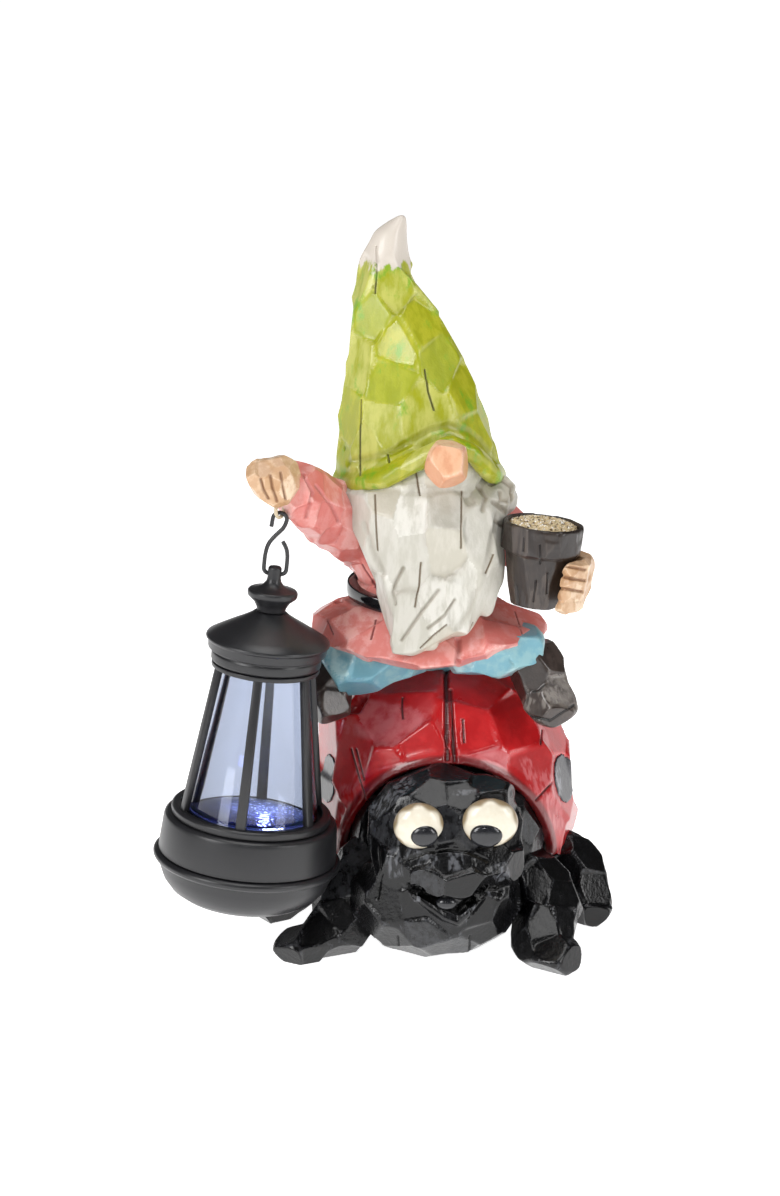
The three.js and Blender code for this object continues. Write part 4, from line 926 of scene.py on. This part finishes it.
blackAbs = mouldedPlastic("blackMouldedAbs", {"base": "#1a1a1c", "worn": "#232326",
                                              "gloss": (0.3, 0.42)})
coatedWire = mouldedPlastic("blackCoatedWire", {"base": "#151517", "worn": "#232326",
                                                "gloss": (0.25, 0.35)})
creamWire = mouldedPlastic("creamPaintedWire", {"base": "#d8cbb2", "worn": "#bfae8e",
                                                "gloss": (0.35, 0.5)})
platedSteel = mouldedPlastic("nickelPlatedSteel", {"base": "#c9c9cd", "worn": "#b4b4b8",
                                                   "gloss": (0.18, 0.3), "metal": 1.0})
greenBoard = mouldedPlastic("solderMaskBoard", {"base": "#2d6b3a", "worn": "#245a30",
                                                "gloss": (0.3, 0.4)})
cellWrap = mouldedPlastic("shrinkWrapSleeve", {"base": "#6f8f4a", "worn": "#64823f",
                                               "gloss": (0.25, 0.35)})
greySwitch = mouldedPlastic("greyMouldedAbs", {"base": "#303034", "worn": "#3b3b40",
                                               "gloss": (0.35, 0.45)})


def clearStyrene(name, tint, rough, dimples=0.0):
    # Clear styrene, injection moulded: colourless to faint blue, glossy, thin.
    material, tree = newMaterial(name)
    wiring = {}
    if dimples:  # small cast dimples, and a painted glow: the lens itself emits, brightest near the LED, standing in for the LED's light spread by the dimples
        place = addNode(tree, "ShaderNodeTexCoord")
        onObject = {"Vector": (place, "Object")}
        cells = addNode(tree, "ShaderNodeTexVoronoi", {"Scale": 1 / (dimples * mm)}, onObject)
        bump = addNode(tree, "ShaderNodeBump", {"Strength": 0.3, "Distance": 0.0004},
                       {"Height": (cells, "Distance")})
        glow = addNode(tree, "ShaderNodeAttribute", {"attribute_name": "glow"})
        spark = addNode(tree, "ShaderNodeMapRange", {"From Min": 0.16, "From Max": 0.3,
                                                     "To Min": 14, "To Max": 1.0},
                        {"Value": (cells, "Distance")})
        power = addNode(tree, "ShaderNodeMath", {"operation": "MULTIPLY"},
                        {0: (glow, "Fac"), 1: (spark, 0)})
        wiring = {"Normal": (bump, 0), "Emission Strength": (power, 0)}
    shader = addNode(tree, "ShaderNodeBsdfPrincipled", {
        "Base Color": hexLinear(tint), "Roughness": rough, "IOR": 1.45, "Transmission Weight": 1.0,
        "Emission Color": hexLinear("#b6c8ff")}, wiring)
    addNode(tree, "ShaderNodeOutputMaterial", {}, {"Surface": (shader, 0)})
    return material


windowClear = clearStyrene("clearStyrene", "#c9cfdc", 0.03)
lensClear = clearStyrene("dimpledStyreneWithPaintedGlow", "#8d92de", 0.06, dimples=1.5)

# profiles are (radius, height) in mm from the wire the lantern hangs on
finialProfile = [(0, -21.5), (3, -21.5), (3, -14.6), (5.4, -14.6), (5.7, -13.2), (7, -10.9),
                 (9.3, -8.9),
                 (9.6, -8.2), (9.6, -6.9), (9, -6.2), (6.2, -5.6), (4.2, -4.6), (2.9, -3),
                 (2.6, -1.6),
                 (2.6, 2.2), (2.1, 2.9), (0, 2.9)]
finialMesh = turn(finialProfile, lanternPlace, bevel=0.25)
newPiece("finial", finialMesh, "lantern", blackAbs, ["finial"])
roofProfile = [(19.5, -35.4), (20.4, -35.4), (21.2, -34.6), (21.2, -31.8), (20.8, -31.1),
               (21, -30.6),
               (22.7, -30.1), (22.9, -27.4), (23.1, -26.9), (23.7, -26.5), (23.9, -25.8),
               (23.4, -25),
               (20, -23), (15, -20.2), (10.5, -17.8), (7.5, -16), (6.2, -14.9), (3.3, -14.9),
               (3.3, -23.3),
               (7, -23.3), (7, -19.8), (20.5, -26), (20.5, -27.6), (19.5, -27.6)]
newPiece("lanternRoof", turn(roofProfile, lanternPlace, closed=True), "lantern", blackAbs, ["roof"])

cageParts = bmesh.new()
ringProfiles = [[(17.2, -37.4), (20.8, -37.4), (20.8, -35.7), (19.2, -35.7), (19.2, -29.4),
                 (17.2, -29.4)],
                [(27.6, -96.9), (31.1, -96.9), (31.1, -94.6), (30.2, -93.8), (27.6, -93.8)]]
for profile in ringProfiles:
    cageParts.from_mesh(turn(profile, Matrix.Identity(4), closed=True, bevel=0.3))
posts = {"count": 6, "deep": 2.6, "wide": 4, "long": 59.8, "taper": 0.82, "round": 0.5,
         "footRadius": 27.9, "foot": -94.8, "slope": 9 / 58.4, "first": -96}
for i in range(posts["count"]):
    post = bmesh.new()
    bmesh.ops.create_cube(post, size=1)
    bmesh.ops.scale(post, vec=Vector((posts["deep"], posts["wide"], posts["long"])) * mm,
                    verts=post.verts)
    for vert in post.verts:  # posts taper a little towards the roof
        if vert.co.z > 0:
            vert.co.y *= posts["taper"]
    bmesh.ops.bevel(post, geom=list(post.edges), offset=posts["round"] * mm, offset_type="OFFSET",
                    segments=2, profile=0.5, material=-1, affect="EDGES")
    place = Matrix.Rotation(math.radians(posts["first"] + 360 * i / posts["count"]), 4, "Z")
    place = place @ Matrix.Translation((posts["footRadius"] * mm, 0, posts["foot"] * mm))
    place = place @ Matrix.Rotation(-math.atan(posts["slope"]), 4, "Y")
    place = place @ Matrix.Translation((0, 0, posts["long"] / 2 * mm))
    bmesh.ops.transform(post, matrix=place, verts=post.verts)
    cageParts.from_mesh(toMesh(post, "post"))
bmesh.ops.transform(cageParts, matrix=lanternPlace, verts=cageParts.verts)
cageMesh = shadeSmooth(toMesh(cageParts, "cage"))
newPiece("lanternCage", cageMesh, "lantern", blackAbs, ["cage"])

windowProfile = [(24.9, -96.9), (26.1, -96.9), (16.9, -37.7), (16.8, -33.4), (15.6, -33.4),
                 (15.7, -37.7)]
newPiece("lanternWindow", turn(windowProfile, lanternPlace, closed=True, bevel=0.2), "lantern",
         windowClear,
         ["window"])
drumProfile = [(32.6, -112.2), (34.8, -112.2), (34.5, -108), (33.8, -99.4), (33.4, -98),
               (32.4, -97.2),
               (24.6, -97.2), (24.6, -99.2), (30.8, -99.2)]
newPiece("lanternDrum", turn(drumProfile, lanternPlace, closed=True, bevel=0.3), "lantern",
         blackAbs,
         ["lantern_base"])
bowlProfile = [(0, -130.7), (21, -130.7), (25, -129.8), (29, -127.2), (32, -123.4), (33.6, -119.4),
               (34, -116), (35.6, -115.9), (36.5, -115), (36.7, -114), (36.4, -113.2),
               (35.4, -112.6),
               (29.2, -112.6), (29.2, -104.8), (27.4, -104.8), (27.4, -114.7), (30.4, -117.7),
               (27, -124),
               (22, -128.7), (0, -128.7)]
newPiece("lightBowl", turn(bowlProfile, lanternPlace, bevel=0.25), "light_unit", blackAbs,
         ["base_bowl"])
lensProfile = [(20.7, -98.2), (22.2, -98.2), (22.2, -95.2), (23.3, -94.9), (23.3, -94), (20, -92.7),
               (12, -92), (0, -91.8), (0, -93.3), (12, -93.4), (20, -94.2), (20.7, -94.6)]
lensMesh = turn(lensProfile, lanternPlace, bevel=0.2)
led = {"across": (5, 3), "height": -96.6, "power": 180, "glowReach": 5}
ledSpot = lanternPlace @ (Vector((*led["across"], led["height"] + 1.2)) * mm)
# painted glow on the lens, fading with distance from the LED
fromLed = np.linalg.norm(readPoints(lensMesh)[0] - np.array(ledSpot) / mm, axis=1)
writeValue(lensMesh, "glow", np.exp(-fromLed / led["glowReach"]))
newPiece("lightLens", lensMesh, "light_unit", lensClear, ["light_lens"])


def litLed(name):
    # White LED, lit: clear epoxy dome over a glowing blue-white die.
    material, tree = newMaterial(name)
    shader = addNode(tree, "ShaderNodeBsdfPrincipled", {
        "Base Color": hexLinear("#eef3ff"), "Roughness": 0.1,
        "Emission Color": hexLinear("#dbe6ff"),
        "Emission Strength": led["power"]})
    addNode(tree, "ShaderNodeOutputMaterial", {}, {"Surface": (shader, 0)})
    return material


ledPlace = lanternPlace @ Matrix.Translation(Vector((*led["across"], led["height"])) * mm)
ledMesh = turn([(0, -3.9), (2.5, -3.9), (2.5, -1.9), (2.4, -1.8), (2.3, -0.9), (1.6, 0.1),
                (0.8, 0.5), (0, 0.6)],
               ledPlace, steps=32, bevel=0)
newPiece("led", ledMesh, "light_unit", litLed("litWhiteLed"), ["led"])


def solarCell(name):
    # Polycrystalline silicon behind glass-clear epoxy: deep blue flakes, thin silver lines.
    material, tree = newMaterial(name)
    place = addNode(tree, "ShaderNodeTexCoord")
    onObject = {"Vector": (place, "Object")}
    flakes = addNode(tree, "ShaderNodeTexVoronoi", {"Scale": 1 / (3 * mm)}, onObject)
    colour = addNode(tree, "ShaderNodeMix", {"data_type": "RGBA", 6: hexLinear("#141b44"),
                                             7: hexLinear("#2c3a86")}, {0: (flakes, "Color")})
    shader = addNode(tree, "ShaderNodeBsdfPrincipled", {"Roughness": 0.2, "Coat Weight": 1.0},
                     {"Base Color": (colour, 2)})
    addNode(tree, "ShaderNodeOutputMaterial", {}, {"Surface": (shader, 0)})
    return material


inside = {"solar_cell": solarCell("polycrystallineCell"), "circuit_board": greenBoard,
          "battery": cellWrap,
          "battery_contact_minus": platedSteel, "battery_contact_plus": platedSteel,
          "battery_cover": blackAbs, "battery_cover_screw": platedSteel,
          "module_screw_1": platedSteel,
          "module_screw_2": platedSteel, "module_screw_3": platedSteel, "finial_screw": platedSteel,
          "module_housing": blackAbs, "switch_slider": greySwitch}
for name, material in inside.items():
    mesh = frame["nodes"][name].data
    mesh.materials.clear()
    mesh.materials.append(material)


def tube(name, points, radius, place, body, material, nodes, closed=False):
    line = bpy.data.curves.new(name, "CURVE")
    line.dimensions = "3D"
    line.bevel_depth = radius * mm
    line.bevel_resolution = 5
    line.use_fill_caps = True
    spline = line.splines.new("NURBS")
    spline.points.add(len(points) - 1)
    for spot, point in zip(spline.points, points):
        spot.co = (place @ (Vector(point) * mm)).to_4d()
    spline.order_u = 3
    spline.use_endpoint_u = not closed
    spline.use_cyclic_u = closed
    spline.resolution_u = 6
    curve = addObject(name, line)
    line.materials.append(material)
    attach(curve, body)
    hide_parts(*nodes)


def arc(cx, cz, r, first, last, step=15):
    way = 1 if last > first else -1
    return [(cx + r * math.cos(math.radians(a)), 0, cz + r * math.sin(math.radians(a)))
            for a in range(first, last + way, way * step)]


hookTurn, hookReach, hookSide, hookLow, hookCorner = 2.7, 1.9, 4.3, -22, 2
hookPoints = [(-2.95, 0, hookReach - hookTurn - 3), (-2.8, 0, hookReach - hookTurn - 1.5)]
hookPoints += arc(0, hookReach - hookTurn, hookTurn, 180, 0)
hookPoints += [(1.9, 0, -3.9), (-0.8, 0, -6.8), (-3.6, 0, -10.6), (-hookSide, 0, hookLow + 7),
               (-hookSide, 0, hookLow + 4)]
hookPoints += arc(-hookSide + hookCorner, hookLow + hookCorner, hookCorner, 180, 270)
hookPoints += arc(hookSide - hookCorner, hookLow + hookCorner, hookCorner, 270, 360)
hookPoints += [(hookSide, 0, hookLow + 4), (hookSide, 0, hookLow + 7), (3.6, 0, -11.4),
               (1.9, 0, -9.2)]
tube("sHook", hookPoints, 0.8, hookPlace, "hook", coatedWire, ["s_hook"])
ringRadius = 3.1
ringPlace = Matrix.Translation(hookPlace.translation + Vector((0, 0, ringRadius * mm)))
ringPlace = ringPlace @ Matrix.Rotation(math.radians(-28), 4, "Z")
ringPoints = [(0, ringRadius * math.cos(a), ringRadius * math.sin(a))
              for a in map(math.radians, range(0, 360, 15))]
tube("handRing", ringPoints, 0.7, ringPlace, "statue", creamWire, ["hand_ring"],
     closed=True)
print("lantern built")

floorWork = bmesh.new()
bmesh.ops.create_grid(floorWork, x_segments=2, y_segments=2, size=40)
floorMesh = toMesh(floorWork, "studioFloor")
floorPaint, floorTree = newMaterial("paleFloor")
floorShader = addNode(floorTree, "ShaderNodeBsdfPrincipled", {
    "Base Color": hexLinear("#f4f4f4"), "Roughness": 0.9, "Emission Color": hexLinear("#ffffff"),
    "Emission Strength": 1.0})
addNode(floorTree, "ShaderNodeOutputMaterial", {}, {"Surface": (floorShader, 0)})
floorMesh.materials.append(floorPaint)
floor = addObject("studioFloor", floorMesh)

world = bpy.data.worlds.new("studio")
bpy.context.scene.world = world
world.use_nodes = True
sky = world.node_tree  # white near the horizon, dimmer overhead, so facets read
compass = addNode(sky, "ShaderNodeTexCoord")
height = addNode(sky, "ShaderNodeSeparateXYZ", {}, {0: (compass, "Generated")})
fade = addNode(sky, "ShaderNodeMapRange", {"From Min": 0.02, "From Max": 0.16, "To Min": 1.0,
                                           "To Max": 0.06},
               {"Value": (height, "Z")})
sky.nodes["Background"].inputs["Color"].default_value = hexLinear("#ffffff")
sky.links.new(fade.outputs[0], sky.nodes["Background"].inputs["Strength"])

aimAt = Vector((frontEye.x, 0, 132)) * mm


def softbox(name, spot, size, power):
    light = bpy.data.lights.new(name, "AREA")
    light.shape = "RECTANGLE"
    light.size, light.size_y = size
    light.energy = power
    lamp = addObject(name, light)
    lamp.location = spot
    lamp.rotation_euler = (aimAt - Vector(spot)).to_track_quat("-Z", "Y").to_euler()


lamps = {"leftBox": ((-0.9, -0.8, 0.75), (0.45, 0.7), 9.5),  # place, size, power
         "rightBox": ((1.0, -0.7, 0.65), (0.4, 0.7), 5.5),
         "topBox": ((0.0, -0.2, 1.3), (0.7, 0.7), 5.5),
         "frontGlint": ((-0.1, -1.1, 0.75), (0.06, 0.06), 0.6)}
for name, (spot, size, power) in lamps.items():
    softbox(name, spot, size, power)

view = {"lift": 14.5, "distance": 1.1, "lens": 82.8}
camera = bpy.data.cameras.new("camera")
camera.lens = view["lens"]
camera.clip_start = 0.01
cameraPiece = addObject("camera", camera)
lift = math.radians(view["lift"])
cameraPiece.location = aimAt + Vector((0, -math.cos(lift), math.sin(lift))) * view["distance"]
cameraPiece.rotation_euler = (math.pi / 2 - lift, 0, 0)
bpy.context.scene.camera = cameraPiece
bpy.context.scene.view_settings.view_transform = "Standard"
print("studio ready")
